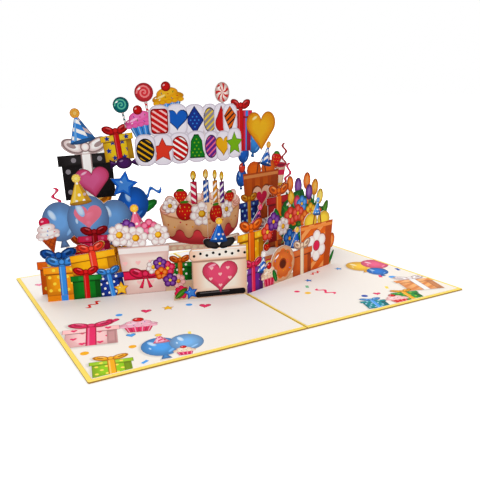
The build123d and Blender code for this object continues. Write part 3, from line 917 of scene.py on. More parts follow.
def print_drum(pen):
    """A round white hat-box with a dark bow and band and a big heart on its front."""
    print_form(pen, "drum", cream, cream, charcoal, rim=0.86)
    pen(pad(0, 0.37, 0.87, 0.71, 0.12), tint(cream, 0.55), deep(cream, 0.9), 0.55)
    pen(pad(0, 0.065, 0.84, 0.1, 0.04), charcoal)
    pen(pad(pen.lit * 0.1, 0.085, 0.5, 0.02, 0.009), tint(charcoal, 0.35))
    pen(box(0, 0.625, 0.9, 0.03), deep(cream, 0.72))
    pen(pad(0, 0.74, 0.97, 0.19, 0.07), tint(cream, 0.7), deep(cream, 0.93), 0.5)
    for i in range(-4, 5):
        pen(disc(0.105 * i, 0.72 + 0.035 * (i % 2), 0.024, 10), charcoal)
    pen(pad(0, 0.815, 0.9, 0.02, 0.009), white)
    for side in (-1, 1):
        pen(oval(side * 0.13, 0.9, 0.13, 0.062, 30 * side), tint(charcoal, 0.16), charcoal)
    puffy = heart(0, 0.06, 0.55)
    pen(puffy, deep(berry, 0.68))
    for i in range(4):
        pen(scaled(puffy, 0.95 - 0.1 * i), between(deep(berry, 0.84), berry, i / 3))
    for x, y in ((-0.13, 0.48), (0.14, 0.49), (0, 0.38), (-0.16, 0.31), (0.16, 0.31), (0, 0.19)):
        pen(heart(x, y - 0.03, 0.06, 14), blush)
    gloss(pen, 0.13, 0.54, 0.07, 0.02, -20, 12, tint(berry, 0.55))


def print_bag(pen, colour, pattern, mark, tissue, charm):
    """A paper carrier bag with tissue showing and a big heart or flower on its front."""
    print_form(pen, "bag", tissue, colour)
    wrap_pattern(pen, [(-0.345, 0.02), (0.345, 0.02), (0.41, 0.76), (-0.41, 0.76)], pattern, mark, 0.19)
    pen([(-pen.lit * x, y) for x, y in ((0.345, 0.02), (0.2, 0.02), (0.24, 0.76), (0.41, 0.76))],
        deep(colour, 0.74))
    pen(box(0, 0.72, 0.82, 0.05), tint(colour, 0.3))
    if charm == "heart":
        pen(heart(0, 0.13, 0.44), deep(colour, 0.6))
        pen(heart(0, 0.155, 0.39), tint(cream, 0.3), deep(cream, 0.92))
        pen(heart(0, 0.22, 0.24), tint(rose, 0.1), rose)
    if charm == "flower":
        for reach, inks in ((0.115, (deep(colour, 0.66),)), (0.1, (white, deep(white, 0.9)))):
            for petal in petals(0, 0.4, 0.16, reach, 6, 12):
                pen(petal, *inks)
        pen(disc(0, 0.4, 0.09), deep(rose, 0.7))
        pen(disc(0, 0.4, 0.075), rose)
    pen([(-0.12, 0.76), (-0.09, 0.76), (-0.06, 0.9), (0.06, 0.9), (0.09, 0.76), (0.12, 0.76), (0.08, 0.94),
         (-0.08, 0.94)], deep(colour, 0.6))


def print_block(pen, width, colour, ribbon, band):
    """A parcel's foot, in its paper's colour with the ribbon running down it."""
    pen(box(0, 0.5, width, 1.4), colour)
    pen(box(0, 0.5, band, 1.4), ribbon)


def print_pot(pen, colour, band):
    """A flower pot wrapped in paper, with a ribbon tied round it."""
    print_form(pen, "pot", colour, rim=0.86)
    pen([(-0.5, 0.86), (0.5, 0.86), (0.51, 0.97), (-0.51, 0.97)], tint(colour, 0.6))
    wrap_pattern(pen, [(-0.42, 0.02), (0.42, 0.02), (0.49, 0.85), (-0.49, 0.85)], "hearts", blush, 0.2)
    pen([(-0.43, 0.3), (0.43, 0.3), (0.46, 0.5), (-0.46, 0.5)], deep(band, 0.7))
    pen([(-0.43, 0.33), (0.43, 0.33), (0.455, 0.47), (-0.455, 0.47)], band)
    print_bow(pen, 0, 0.44, 0.17, band)
    for side in (-1, 1):
        pen([(0, 0.4), (side * 0.14, 0.12), (side * 0.06, 0.1)], band, deep(band, 0.7))


def print_cone(pen):
    """An ice-cream cone: waffle, soft white scoops with sprinkles and a pink cherry."""
    print_form(pen, "cone", chestnut, rose, white, white, rim=0.86)
    for slope in (50, -50):
        stripes(pen, [(0, 0.04), (0.22, 0.47), (-0.22, 0.47)], deep(chestnut, 0.74), 0.1, 0.02, slope)
    for i in range(4):
        pen(oval(-0.21 + 0.14 * i, 0.46, 0.08, 0.06, 0, 10), white, deep(white, 0.84))
    pen(oval(0, 0.56, 0.29, 0.1), white, deep(white, 0.86))
    pen(oval(0, 0.7, 0.21, 0.1), white, deep(white, 0.88))
    sprinkles(pen, ((-0.18, 0.56), (0.02, 0.52), (0.17, 0.58), (-0.07, 0.68), (0.1, 0.73), (-0.02, 0.62)),
              0.028, 0.012, 55, (rose, sky, lilac, gold))
    gloss(pen, 0.04, 0.9, 0.04, 0.025, 0, 9, tint(rose, 0.7))


def print_candle(pen, colour, twist=38):
    """A twisted candle with its flame."""
    print_form(pen, "candle", white, charcoal, gold, rim=0.84)
    stick = box(0, 0.34, 0.2 - 2 * pen.line, 0.68 - 2 * pen.line)
    pen(stick, colour, deep(colour, 0.82))
    stripes(pen, stick, white, 0.16, 0.06, twist)
    pen(box(-pen.lit * 0.075, 0.34, 0.04, 0.66), deep(colour, 0.72))
    pen(oval(0, 0.85, 0.082, 0.14, 0, 14), (206, 138, 24))
    pen([(0, 0.985), (-0.05, 0.9), (-0.07, 0.82), (-0.045, 0.745), (0, 0.72), (0.045, 0.745), (0.07, 0.82),
         (0.05, 0.9)], (250, 206, 60))
    gloss(pen, 0.015, 0.81, 0.035, 0.06, 0, 10, (255, 240, 170))
    pen(oval(0, 0.74, 0.016, 0.045, 0, 8), charcoal)


def print_tulip(pen, colour):
    """A tulip: three cupped petals on a stem with two leaves."""
    print_form(pen, "tulip", leaf_green, green, green, colour, rim=0.72)
    pen([(-0.1, 0.95), (-0.06, 0.78), (0.06, 0.78), (0.1, 0.95), (0, 1)], deep(colour, 0.6))
    for side in (-1, 1):
        pen([(side * 0.02, 0.54), (side * 0.15, 0.72), (side * 0.085, 0.97), (side * 0.01, 0.8)],
            tint(colour, 0.2), deep(colour, 0.84))
    pen([(0, 0.99), (-0.065, 0.84), (-0.08, 0.7), (0, 0.53), (0.08, 0.7), (0.065, 0.84)],
        tint(colour, 0.42), colour)
    pen([(-0.014, 0.56), (0.014, 0.56), (0, 0.88)], deep(colour, 0.74))


# Places that turn on by this angle each time, in radians, spread evenly round a middle
golden_turn = 2.4


def spread(count, step, rise, start=0.0):
    """Places that spread out from a middle at the given rise, each with its number and direction."""
    for i in range(count):
        angle, reach = golden_turn * i + start, step * math.sqrt(i)
        yield i, angle, reach * math.cos(angle), rise + reach * math.sin(angle)


def print_bush(pen, colour, specks):
    """Leaves massed together, with small flowers among them."""
    print_form(pen, "bush", colour, deep(colour, 0.86), rim=0.7)
    greens = (deep(colour, 0.66), tint(colour, 0.25), leaf_green, mint)
    for i, angle, x, y in spread(34, 0.105, 0.45):
        side, rise = 0.035 * math.sin(angle), 0.035 * math.cos(angle)
        pen([(x - side, y + rise), (x * 1.3, 0.45 + (y - 0.45) * 1.3 + 0.03), (x + side, y - rise),
             (x * 0.6, 0.45 + (y - 0.45) * 0.6)], greens[i % 4])
    for i, angle, x, y in spread(16, 0.15, 0.46, 1):
        speck = specks[i % len(specks)]
        for petal in petals(x, y, 0.05, 0.042, 5, 6):
            pen(petal, speck, deep(speck, 0.8))
        pen(disc(x, y, 0.026, 6), lemon)


def print_strawberry(pen, plump=False):
    """A strawberry with seeds and its leafy cap."""
    if plump:
        pen(oval(0, 0.42, 0.41, 0.43), deep(red, 0.6))
        pen(oval(0, 0.42, 0.39, 0.41), ripe, deep(red, 0.78), 0.35)
    else:
        print_form(pen, "strawberry", ripe, ripe, ripe, green, rim=0.72)
        pen(disc(0, 0.52, 0.3), ripe)
    for x, y in ((-0.2, 0.6), (0, 0.62), (0.2, 0.6), (-0.11, 0.44), (0.11, 0.44), (0, 0.28), (-0.24, 0.44),
                 (0.24, 0.44), (0, 0.12)):
        pen(oval(x, y, 0.018, 0.032, 0, 6), lemon)
    for lean in (-62, -24, 24, 62):
        slope = math.radians(lean)
        pen([(-0.05, 0.86), (0.25 * math.sin(slope), 0.88 - 0.13 * math.cos(slope)), (0.05, 0.86)], green)
    pen(lobe(0, 0.86, 0.2, 0.06), leaf_green, green)
    gloss(pen, 0.22, 0.68, 0.035, 0.06, 20, 9, tint(red, 0.6))


def print_candy(pen, colour):
    """A sweet in twisted paper."""
    print_form(pen, "candy", colour, colour, tint(colour, 0.1), rim=0.7)
    gloss(pen, 0.2, 0.68, 0.16, 0.06, -12, 10, tint(colour, 0.55))
    for side in (-1, 1):
        pen([(side * 0.55, 0.5), (side * 1.0, 0.72), (side * 1.0, 0.6)], tint(colour, 0.3))
        pen([(side * 0.55, 0.5), (side * 1.0, 0.4), (side * 1.0, 0.28)], deep(colour, 0.7))


def print_donut(pen):
    """A doughnut with caramel icing and sprinkles."""
    print_form(pen, "donut", (250, 214, 170), rim=0.8)
    for drip in petals(0, 0.5, 0.3, 0.13, 9, 9):
        pen(drip, caramel)
    pen(disc(0, 0.5, 0.38), caramel, deep(caramel, 0.85), 0.6)
    pen(disc(0, 0.5, 0.15, 16), deep(chestnut, 0.7))
    pen(oval(0, 0.485, 0.12, 0.115, 0, 14), deep(chestnut, 0.45))
    places = [around(0, 0.5, (0.2, 0.34)[i % 2], math.degrees(golden_turn * i)) for i in range(13)]
    sprinkles(pen, places, 0.032, 0.012, 70, (rose, sky, gold, green))
    gloss(pen, 0.24, 0.73, 0.09, 0.025, -35, 10, (255, 255, 255))


def print_slice(pen):
    """A slice of layer cake with a strawberry on it."""
    print_form(pen, "slice", lemon, white, red, rim=0.86)
    wedge = [(-0.6, 0.02), (0.49, 0.02), (0.6, 0.48), (-0.6, 0.62)]
    for low, high, colour in ((0.02, 0.14, chestnut), (0.14, 0.2, white), (0.2, 0.33, lemon),
                              (0.33, 0.38, rose), (0.38, 0.5, tint(chestnut, 0.3)), (0.5, 0.64, white)):
        pen(clipped([(-0.62, low), (0.62, low - 0.02), (0.62, high - 0.02), (-0.62, high)], wedge), colour)
    pen(oval(-0.05, 0.6, 0.53, 0.12, -7), white, deep(white, 0.88), 0.6)
    pen(disc(-0.3, 0.82, 0.15), red, deep(red, 0.75))
    for x, y in ((-0.36, 0.82), (-0.26, 0.86), (-0.3, 0.74), (-0.23, 0.77)):
        pen(oval(x, y, 0.012, 0.02, 0, 5), lemon)
    pen(oval(-0.3, 0.94, 0.09, 0.03, 0, 9), green)


def print_stand(pen):
    """The cake's stand: a scalloped plate on a foot."""
    print_form(pen, "stand", stand_clay, (250, 214, 190), rim=0.84)
    for i in range(13):
        pen(oval(-1.2 + 0.2 * i, 0.83, 0.1, 0.07, 0, 10), cream, deep(cream, 0.86))
    pen(box(0, 0.95, 2.4, 0.05), tint(cream, 0.5))
    for i in range(-2, 3):
        low, high = 0.14 * i, 0.1 * i
        pen([(low - 0.03, 0.02), (low + 0.03, 0.02), (high + 0.02, 0.74), (high - 0.02, 0.74)],
            tint(stand_clay, 0.35))


def print_cake(pen):
    """A round cake: pink side, cream that runs down in drips and a ring of piped swirls."""
    print_form(pen, "cake", *[swirl] * 5, sponge, sponge, icing, rim=0.8, fade=0.6)
    pen(oval(0, 0.328, 0.76, 0.28), sponge, deep(sponge, 0.72), 0.5)
    pen([(-0.765, 0.328), (0.765, 0.328), (0.83, 0.7), (-0.83, 0.7)], sponge)
    drip = []
    for i in range(81):
        x = -1 + i / 40
        fall = math.sin(5 * math.pi * x + 0.9)
        low = 0.37 - 0.13 * math.sqrt(max(0, 1 - x * x)) - 0.075 * math.copysign(abs(fall) ** 0.6, fall)
        drip.append((x * (0.79 + 0.03 * (low - 0.3)), low))
    drip += [(0.835, 0.72), (-0.835, 0.72)]
    pen([(x, y - 0.02) for x, y in drip], deep(sponge, 0.64))
    for i in range(5):
        pen([(x * (1 - 0.012 * i), 0.72 + (y - 0.72) * (1 - 0.07 * i)) for x, y in drip],
            between(deep(drip_tone, 0.84), drip_tone, i / 4))
    for i in range(14):
        x = -0.7 + 0.108 * i
        pen(oval(x, 0.47 - 0.1 * math.sqrt(1 - x * x) + 0.045 * (i % 3), 0.018, 0.015, 20 * i, 7),
            (gold, chestnut, rose)[i % 3])
    pen(oval(0, 0.715, 0.84, 0.24), (222, 160, 116))
    pen(oval(0, 0.73, 0.82, 0.222), icing, deep(icing, 0.94), 0.72)
    places = []
    for i in range(18):
        x, y = around(0, 0, 0.25 + 0.1 * (i % 5), math.degrees(golden_turn * i))
        places.append((x, 0.7 + 0.2 * y))
    sprinkles(pen, places, 0.02, 0.012, 40, (rose, navy, leaf_green, red))
    for i in range(19):
        angle = math.pi * (-0.06 + 1.12 * i / 18)
        x, y = 0.745 * math.cos(angle), 0.735 + 0.175 * math.sin(angle)
        pen(oval(x, y, 0.092, 0.078, 0, 14), (226, 150, 128))
        pen(oval(x, y + 0.005, 0.082, 0.068, 0, 14), swirl, (248, 204, 188), 0.35)
        pen(lobe(x, y + 0.03, 0.05, 0.034), (255, 246, 240), swirl)
        pen(oval(x + 0.012, y + 0.052, 0.02, 0.016, 0, 8), white)


def print_popper(pen):
    """A party popper with a pink band."""
    print_form(pen, "popper", cream, rose, rim=0.8)
    pen([(-0.18, 0.56), (0.18, 0.56), (0.225, 0.74), (-0.225, 0.74)], rose)
    pen([(-0.09, 0.14), (0.09, 0.14), (0.13, 0.3), (-0.13, 0.3)], tint(gold, 0.3))
    pen(lobe(0, 0.9, 0.2, 0.05), deep(rose, 0.6))


def print_ball(pen, colour):
    """A small round ball."""
    print_form(pen, "donut", colour, rim=0.6)
    gloss(pen, 0.16, 0.68, 0.12, 0.08, 0, 10, tint(colour, 0.6))


def print_streamer(pen, colour):
    """A curled paper streamer."""
    print_form(pen, "streamer", colour)
    pen(wave(pen.lit * 0.03, 0.02, 0.035, 0.13, 2, 0.96), tint(colour, 0.4))


def print_plate(pen):
    """The white strip that carries the banner's fields."""
    pen(box(0, 0.5, 2.3, 1), banner_edge)
    pen(box(0, 0.5, 2.24, 0.9), (236, 231, 239))


cell_shapes = {
    "star": star(0, 0.48, 0.36, 0.18),
    "heart": heart(0, 0.2, 0.58, 24),
    "disc": oval(0, 0.5, 0.25, 0.33),
    "drop": [(0, 0.88)] + [oval(0, 0.38, 0.245, 0.25, 0, 24)[i % 24] for i in range(9, 28)],
    "gem": [(0, 0.11), (0.26, 0.5), (0, 0.89), (-0.26, 0.5)],
    "bell": [(-0.26, 0.18), (0.26, 0.18), (0.18, 0.4), (0.16, 0.66), (0.06, 0.84), (-0.06, 0.84),
             (-0.16, 0.66), (-0.18, 0.4)],
    "egg": oval(0, 0.49, 0.245, 0.35),
    "kite": [(0, 0.11), (0.25, 0.6), (0, 0.88), (-0.25, 0.6)],
    "tile": pad(0, 0.5, 0.48, 0.68, 0.1),
}
cell_spread = 1.14


def print_cell(pen, shape, colour, pattern=None, mark=white):
    """One field of the banner: a bold party shape on a white plate with a soft edge."""
    pen(pad(0, 0.5, 0.66, 1, 0.26), banner_edge)
    pen(pad(0, 0.5, 0.585, 0.925, 0.23), (240, 236, 243), (236, 230, 240), 0.7)
    points = [(cell_spread * x, 0.5 + cell_spread * (y - 0.5)) for x, y in turns_left(cell_shapes[shape])]
    pen(points, deep(colour, 0.66))
    inner = scaled(points, 0.88)
    pen(inner, colour)
    if pattern == "stripes":
        stripes(pen, inner, mark, 0.15, 0.055, 35)
    if pattern == "dots":
        dots(pen, inner, mark, 0.13, 0.026)


# Each motif: its place out from the crease, its baseline and its height as shares of the leaf's
# width, its lean away from the crease in degrees, and how it is drawn
layer_prints = {
    "front_left": (
        (0.14, 0, 0.315, 0, print_drum),
        (0.143, 0.29, 0.13, -3, print_hat, blue, "dots", white, yellow),
        (0.345, 0.005, 0.075, 0, print_daisy, rose, lemon),
        (0.378, 0.01, 0.08, -50, print_leaf, leaf_green),
        (0.29, 0, 0.075, 10, print_star, blue),
    ),
    "front_right": (
        (0.705, 0, 0.2, 14, print_tulip, orange),
        (0.59, 0, 0.36, 2, print_bag, orange, "stripes", tint(orange, 0.4), lemon, "flower"),
        (0.595, 0.325, 0.105, 8, print_hat, sky, "dots", white, sky),
        (0.4, 0.165, 0.125, 8, print_hat, blue, "dots", white, yellow),
        (0.46, 0, 0.215, 0, print_gift, (226, 122, 50), cream),
        (0.05, 0, 0.19, 0, print_gift, purple, rose, "flowers", white),
        (0.12, 0.085, 0.12, 8, print_hat, blue, "stripes", white, white),
        (0.29, 0, 0.205, 0, print_donut),
        (0.175, 0, 0.135, 0, print_cupcake, cream, rose),
        (0.235, 0.01, 0.08, -20, print_leaf, green),
    ),
    "second_left": (
        (0.487, 0.33, 0.155, 6, print_hat, (244, 132, 170), "dots", white, yellow),
        (0.43, 0.315, 0.09, 0, print_flower, pink, rose),
        (0.545, 0.32, 0.09, 0, print_flower, purple, yellow),
        (0.48, 0.245, 0.13, 20, print_daisy),
        (0.385, 0.255, 0.12, 0, print_daisy),
        (0.585, 0.265, 0.125, 0, print_daisy),
        (0.465, 0, 0.26, 0, print_pot, (250, 236, 228), rose),
        (0.885, 0, 0.03, 0, print_block, 5.7, deep(gold, 0.9), sky, 0.035 / 0.03),
        (0.885, 0.03, 0.22, 0, print_gift, gold, sky, "dots", lemon),
        (0.72, 0.145, 0.17, 6, print_gift, yellow, coral, None, white, "flat_gift"),
        (0.637, 0, 0.17, 8, print_gift, navy, sky, "dots", white),
        (0.77, 0, 0.18, 0, print_gift, green, red),
        (0.595, 0, 0.08, 0, print_star, yellow),
        (0.345, 0.085, 0.085, 0, print_flower, rose, lemon),
        (0.42, 0.1, 0.08, 0, print_daisy),
        (0.385, 0.12, 0.075, 0, print_flower, purple, yellow),
        (0.38, 0.065, 0.075, 0, print_flower, orange, red),
        (0.29, 0.01, 0.08, 0, print_daisy, blush, gold),
        (0.335, 0.02, 0.08, 0, print_flower, purple, lemon),
    ),
    "second_right": (
        (0.205, 0.295, 0.13, 20, print_hat, plum, "stripes", pink, rose),
        (0.165, 0, 0.35, 0, print_gift, yellow, orange, "dots", lemon, "tall_gift"),
        (0.41, 0.26, 0.12, -20, print_leaf, green),
        (0.49, 0.2, 0.11, -45, print_leaf, leaf_green),
        (0.3, 0.19, 0.11, 0, print_flower, coral, lemon),
        (0.355, 0.24, 0.115, 0, print_flower, purple, yellow),
        (0.44, 0.2, 0.11, 0, print_daisy),
        (0.5, 0.11, 0.12, 0, print_flower, blue, yellow),
        (0.565, 0.03, 0.12, 0, print_flower, coral, lemon),
        (0.345, 0.02, 0.17, 0, print_slice),
    ),
    "third_left": (
        (0.225, 0, 0.165, 0, print_gift, green, orange, "dots", white),
        (0.55, 0, 0.27, 0, print_gift, crimson, gold),
        (0.76, 0, 0.25, 0, print_gift, orange, red, "dots", lemon),
        (0.87, 0, 0.26, 0, print_gift, orange, blue, "dots", lemon),
        (0.44, 0.5, 0.14, -72, print_streamer, blue),
        (0.455, 0.41, 0.14, -62, print_leaf, green),
        (0.48, 0.33, 0.23, -8, print_balloon, blue),
        (0.515, 0.5, 0.15, -10, print_star, blue),
        (0.845, 0.455, 0.12, 8, print_streamer, rose),
        (0.83, 0.245, 0.255, 6, print_balloon, powder),
        (0.575, 0.24, 0.255, -4, print_balloon, powder),
        (0.7, 0.225, 0.3, 0, print_balloon, powder, (250, 160, 184)),
        (0.675, 0.165, 0.2, 0, print_gift, rose, crimson, "dots", pink),
        (0.73, 0.475, 0.165, 6, print_hat, (250, 212, 72), "dots", white, lemon),
        (0.89, 0.225, 0.2, 12, print_cone),
    ),
    "third_right": (
        (0.49, 0, 0.19, 0, print_gift, brown, orange),
        (0.945, 0.18, 0.15, 28, print_leaf, leaf_green),
        (0.78, 0.29, 0.235, 4, print_tulip, orange),
        (0.85, 0.24, 0.235, 8, print_tulip, gold),
        (0.71, 0.27, 0.23, -2, print_tulip, purple),
        (0.635, 0.31, 0.21, -4, print_tulip, orange),
        (0.895, 0.185, 0.22, 12, print_tulip, lemon),
        (0.515, 0.13, 0.36, 0, print_gift, crimson, orange, None, white, "tall_gift"),
        (0.7, 0.1, 0.28, 0, print_bush, green, (coral, orange, white)),
        (0.84, 0.06, 0.23, 0, print_bush, green, (yellow, coral, lilac)),
        (0.815, 0.225, 0.22, 0, print_tulip, purple),
        (0.645, 0.23, 0.2, -5, print_tulip, yellow),
        (0.69, 0.2, 0.19, 0, print_tulip, rose),
        (0.74, 0.27, 0.11, 0, print_flower, sky, yellow),
        (0.83, 0.22, 0.1, 0, print_flower, yellow, orange),
        (0.625, 0.2, 0.125, 0, print_flower, coral, lemon),
        (0.7, 0.21, 0.12, 0, print_flower, coral, yellow),
        (0.77, 0.17, 0.11, 0, print_flower, orange, red),
        (0.83, 0.13, 0.11, 0, print_daisy, ice, yellow),
        (0.91, 0.07, 0.12, 0, print_flower, orange, red),
    ),
    "rear_left": (
        (0, 0, 0.2, 0, print_stand),
        (0, 0.165, 0.32, 0, print_cake),
        (0.149, 0.415, 0.1, 0, print_strawberry),
        (0.072, 0.415, 0.195, 0, print_candle, rose),
        (0, 0.42, 0.195, 0, print_candle, blue, -38),
        (0.211, 0.37, 0.09, 0, print_daisy),
        (0.128, 0.325, 0.125, 0, print_strawberry, True),
        (0.03, 0.285, 0.145, 0, print_daisy),
        (0.66, 0, 0.31, 0, print_gift, chestnut, orange, "dots", lemon),
        (0.63, 0.24, 0.28, 0, print_gift, red, gold, "stripes", coral),
        (0.64, 0.485, 0.345, 2, print_gift, charcoal, white, "dots", grey),
        (0.655, 0.785, 0.19, 12, print_hat, sky, "stripes", white, gold),
        (0.615, 0.49, 0.165, 6, print_heart, (236, 112, 168)),
        (0.468, 0.685, 0.2, 6, print_gift, (255, 222, 44), red, "stars", navy),
        (0.447, 0.635, 0.07, 4, print_candy, plum),
        (0.425, 0.86, 0.165, 10, print_lollipop, teal, (120, 210, 180)),
        (0.3, 0.9, 0.195, 8, print_lollipop, (236, 72, 84), (252, 160, 160)),
        (0.332, 0.81, 0.17, 11, print_cupcake, (250, 128, 200), sky),
        (0.178, 0.925, 0.175, 9, print_cupcake, yellow, sky),
        (0, 0.7, 0.22, 0, print_plate),
        (0.05, 0.8, 0.175, 0, print_cell, "gem", navy, "dots", sky),
        (0.148, 0.805, 0.175, 0, print_cell, "heart", blue),
        (0.245, 0.8, 0.175, 0, print_cell, "tile", red, "stripes", blush),
        (0.045, 0.655, 0.175, 0, print_cell, "bell", green, "dots", lime),
        (0.14, 0.65, 0.175, 0, print_cell, "egg", red, "stripes", white),
        (0.235, 0.645, 0.175, 0, print_cell, "star", coral),
        (0.33, 0.645, 0.175, 0, print_cell, "disc", charcoal, "stripes", yellow),
    ),
    "rear_right": (
        (0, 0, 0.2, 0, print_stand),
        (0, 0.165, 0.32, 0, print_cake),
        (0.18, 0.375, 0.1, 0, print_strawberry),
        (0.122, 0.4, 0.19, 0, print_candle, purple),
        (0.068, 0.41, 0.195, 0, print_candle, gold),
        (0, 0.42, 0.195, 0, print_candle, blue),
        (0.155, 0.305, 0.11, 0, print_daisy),
        (0.068, 0.295, 0.125, 0, print_strawberry, True),
        (0.365, 0, 0.25, 0, print_gift, coral, white, "dots", blush),
        (0.52, 0, 0.27, 0, print_gift, orange, white, "dots", lemon),
        (0.68, 0, 0.25, 0, print_gift, chestnut, lemon),
        (0.7, 0.41, 0.17, 14, print_streamer, rose),
        (0.68, 0.56, 0.15, 4, print_streamer, crimson),
        (0.64, 0.4, 0.19, 4, print_popper),
        (0.635, 0.21, 0.26, 0, print_gift, red, orange),
        (0.6, 0.55, 0.12, 8, print_strawberry),
        (0.28, 0.455, 0.13, 6, print_balloon, blue),
        (0.295, 0.56, 0.06, 0, print_ball, coral),
        (0.385, 0.64, 0.175, 14, print_balloon, sky),
        (0.31, 0.595, 0.135, 0, print_balloon, blue),
        (0.465, 0.25, 0.385, 0, print_bag, (232, 124, 34), "upright", (206, 100, 26), orange, "heart"),
        (0.35, 0.235, 0.2, 0, print_gift, navy, gold, "dots", ice),
        (0.5, 0.58, 0.155, 16, print_hat, blue, "stripes", white, gold),
        (0.285, 0.69, 0.31, 2, print_gift, rose, red, "upright", sky, "tall_gift"),
        (0.47, 0.68, 0.235, 0, print_heart, yellow),
        (0.15, 0.87, 0.22, -1, print_lollipop, (254, 240, 232), (226, 70, 70), "wheel"),
        (0, 0.7, 0.22, 0, print_plate),
        (0.045, 0.8, 0.175, 0, print_cell, "egg", grey, "stripes", lemon),
        (0.135, 0.8, 0.175, 0, print_cell, "drop", red),
        (0.205, 0.795, 0.175, 0, print_cell, "kite", orange, "stripes", charcoal),
        (0.05, 0.65, 0.175, 0, print_cell, "disc", purple, "stripes", pink),
        (0.145, 0.645, 0.175, 0, print_cell, "heart", yellow),
        (0.235, 0.655, 0.175, 0, print_cell, "star", lime),
    ),
}

# How far the strip of card along the foot of each wing reaches and how high it stands, as shares
# of the leaf's width
strip_shares = {
    "front_left": (0.385, 0.03), "front_right": (0.74, 0.03), "second_left": (0.97, 0.05),
    "second_right": (0.6, 0.06), "third_left": (0.95, 0.045), "third_right": (0.93, 0.07),
    "rear_left": (0.76, 0.08), "rear_right": (0.76, 0.1),
}

# How much each layer's inks are darkened: the lower weights of the third and rear layers are partly darker
# ink and partly painted shade, for the lesser light that reaches them
ink_and_shade_weights = {"front": 0.92, "second": 0.96, "third": 0.89, "rear": 0.84}
white_weight = 0.96
ink_gamma = 1.3


def dense(colour, weight):
    """The same ink laid on more heavily: deeper and purer, with the whites nearly kept."""
    shares = np.clip(np.array(colour) / 255, 0, 1)
    return 255 * shares ** ink_gamma * (weight + (white_weight - weight) * shares.min() ** 2)


def wing_print(layer, side):
    """One wing's print, set on the front face of its card."""
    name = f"{layer}_{side}"
    hand = 1 if side == "right" else -1
    lap = 0 if side == "right" else card_thick / math.cos(slant)
    start = Vector((0, (crease_shares[layer] - 0.5) * leaf_depth + lap, leaf_top))
    page = box(leaf_width, leaf_width, 2 * leaf_width, 2 * leaf_width)
    reach, strip_high = (share * leaf_width for share in strip_shares[name])
    sheet = [(box(reach / 2, strip_high / 2, reach, strip_high), ground_tan, None, 0)]
    for out, up, height, lean, draw, *tones in layer_prints[name]:
        draw(pen_on(sheet, out * leaf_width, up * leaf_width, height * leaf_width, lean, -hand), *tones)
    # The third and rear layers' inks come out darker, partly as painted shade
    weight = ink_and_shade_weights[layer]
    sheet = [(points, dense(colour, weight), None if rim is None else dense(rim, weight), fade)
             for points, colour, rim, fade in sheet]
    along = Vector((hand * math.cos(slant), math.sin(slant), 0))
    return mosaic(page, sheet), start, along, Vector((0, 0, 1))


def crease_line(maths, x, *others):
    """The line of shade down the crease of each layer."""
    return maths("LESS_THAN", maths("ABSOLUTE", x), crease_width / 2)


crease_width = 0.00012
crease_shade = (206, 164, 138)
layer_white = (246, 244, 240)
layer_stock = card_stock("layer_card", layer_white, roughness=0.5, grain_size=0.0007,
                         grain_height=0.00001, mottle=0.015)
shade_where(layer_stock, crease_shade, crease_line)
for layer in crease_shares:
    for side in ("left", "right"):
        finish_node(f"{layer}_{side}", layer_stock)
    print_skin(f"{layer}_print", [wing_print(layer, "left"), wing_print(layer, "right")])

# Backdrop: a wide white floor just under the card that keeps its soft shadow, in a white
# studio. Their full white is for the camera alone and adds no light to the card.
floor_half = 6
floor_drop = 0.0002
floor_white = (0.88, 0.88, 0.88, 1)
full_white = (1, 1, 1, 1)
glow_start, glow_full, least_glow = 0.16, 0.5, 0.2
studio_light = 0.54

floor_mesh = bpy.data.meshes.new("floor")
work = bmesh.new()
bmesh.ops.create_grid(work, x_segments=1, y_segments=1, size=floor_half)
bmesh.ops.translate(work, verts=work.verts, vec=(0, 0, -floor_drop))
work.to_mesh(floor_mesh)
work.free()
floor = bpy.data.objects.new("floor", floor_mesh)
bpy.context.scene.collection.objects.link(floor)


def seen_rays(nodes, links):
    """A value of 1 for what the camera sees, straight, mirrored or through glass."""
    rays = nodes.new("ShaderNodeLightPath").outputs
    value = maths_node(nodes, links, "MAXIMUM", rays["Is Camera Ray"], rays["Is Glossy Ray"])
    return maths_node(nodes, links, "MAXIMUM", value, rays["Is Transmission Ray"])


backdrop = bpy.data.materials.new("backdrop")
backdrop.use_nodes = True
nodes, links = backdrop.node_tree.nodes, backdrop.node_tree.links
shader = nodes["Principled BSDF"]
shader.inputs["Base Color"].default_value = floor_white
shader.inputs["Roughness"].default_value = 0.9
shader.inputs["Specular IOR Level"].default_value = 0
shader.inputs["Emission Color"].default_value = full_white
place = nodes.new("ShaderNodeTexCoord")
reach = nodes.new("ShaderNodeVectorMath")
reach.operation = "LENGTH"
links.new(place.outputs["Object"], reach.inputs[0])
glow = nodes.new("ShaderNodeMapRange")
glow.interpolation_type = "SMOOTHSTEP"
for socket, value in (("From Min", glow_start), ("From Max", glow_full),
                      ("To Min", least_glow), ("To Max", 1)):
    glow.inputs[socket].default_value = value
links.new(reach.outputs["Value"], glow.inputs["Value"])
shown = maths_node(nodes, links, "MULTIPLY", glow.outputs["Result"], seen_rays(nodes, links))
links.new(shown, shader.inputs["Emission Strength"])
floor_mesh.materials.append(backdrop)

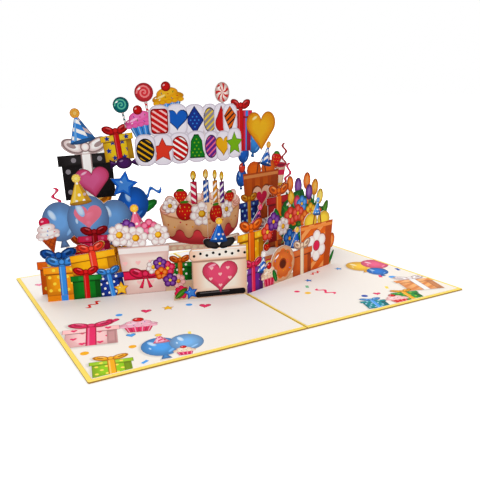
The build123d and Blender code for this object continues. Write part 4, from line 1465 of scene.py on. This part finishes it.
world = bpy.data.worlds.new("studio")
bpy.context.scene.world = world
world.use_nodes = True
nodes, links = world.node_tree.nodes, world.node_tree.links
strength = nodes.new("ShaderNodeMapRange")
strength.inputs["To Min"].default_value = studio_light
strength.inputs["To Max"].default_value = 1
links.new(seen_rays(nodes, links), strength.inputs["Value"])
nodes["Background"].inputs["Color"].default_value = full_white
links.new(strength.outputs["Result"], nodes["Background"].inputs["Strength"])


def softbox(name, place, aim, size, power):
    """A large square studio light."""
    light = bpy.data.lights.new(name, "AREA")
    light.size = size
    light.energy = power
    lamp = bpy.data.objects.new(name, light)
    lamp.location = place
    lamp.rotation_euler = (Vector(aim) - Vector(place)).to_track_quat("-Z", "Y").to_euler()
    bpy.context.scene.collection.objects.link(lamp)


softbox("key", (-0.5, -1.2, 1.1), (0, 0, 0.05), 0.9, 7)
softbox("fill", (0.9, -0.9, 0.9), (0, 0, 0.05), 0.9, 4)
softbox("front", (-0.75, -1.4, 0.3), (0, 0, 0.07), 0.8, 1.5)
softbox("top", (0.1, 0.9, 1.2), (0, 0, 0.02), 1.0, 9)

# Camera: low, from the front left, at the photograph's distance and angle. Its place and its
# turn were worked out from the cover's corners and edges as the photograph shows them.
azimuth, height_angle, roll = math.radians(-28.898), math.radians(13.976), math.radians(-1.377)
camera_place = (-0.1942, -0.37235, 0.1374)
sensor_width, focal_length = 36, 45.48
back = Vector((math.sin(azimuth) * math.cos(height_angle), -math.cos(azimuth) * math.cos(height_angle),
               math.sin(height_angle)))
level = Vector((math.cos(azimuth), math.sin(azimuth), 0))
upright = back.cross(level)
right = level * math.cos(roll) + upright * math.sin(roll)
top = upright * math.cos(roll) - level * math.sin(roll)
lens = bpy.data.cameras.new("camera")
lens.sensor_width = sensor_width
lens.lens = focal_length
camera = bpy.data.objects.new("camera", lens)
turned = Matrix((right, top, back)).transposed().to_4x4()
turned.translation = camera_place
camera.matrix_world = turned
bpy.context.scene.collection.objects.link(camera)
bpy.context.scene.camera = camera
bpy.context.scene.view_settings.view_transform = "Standard"
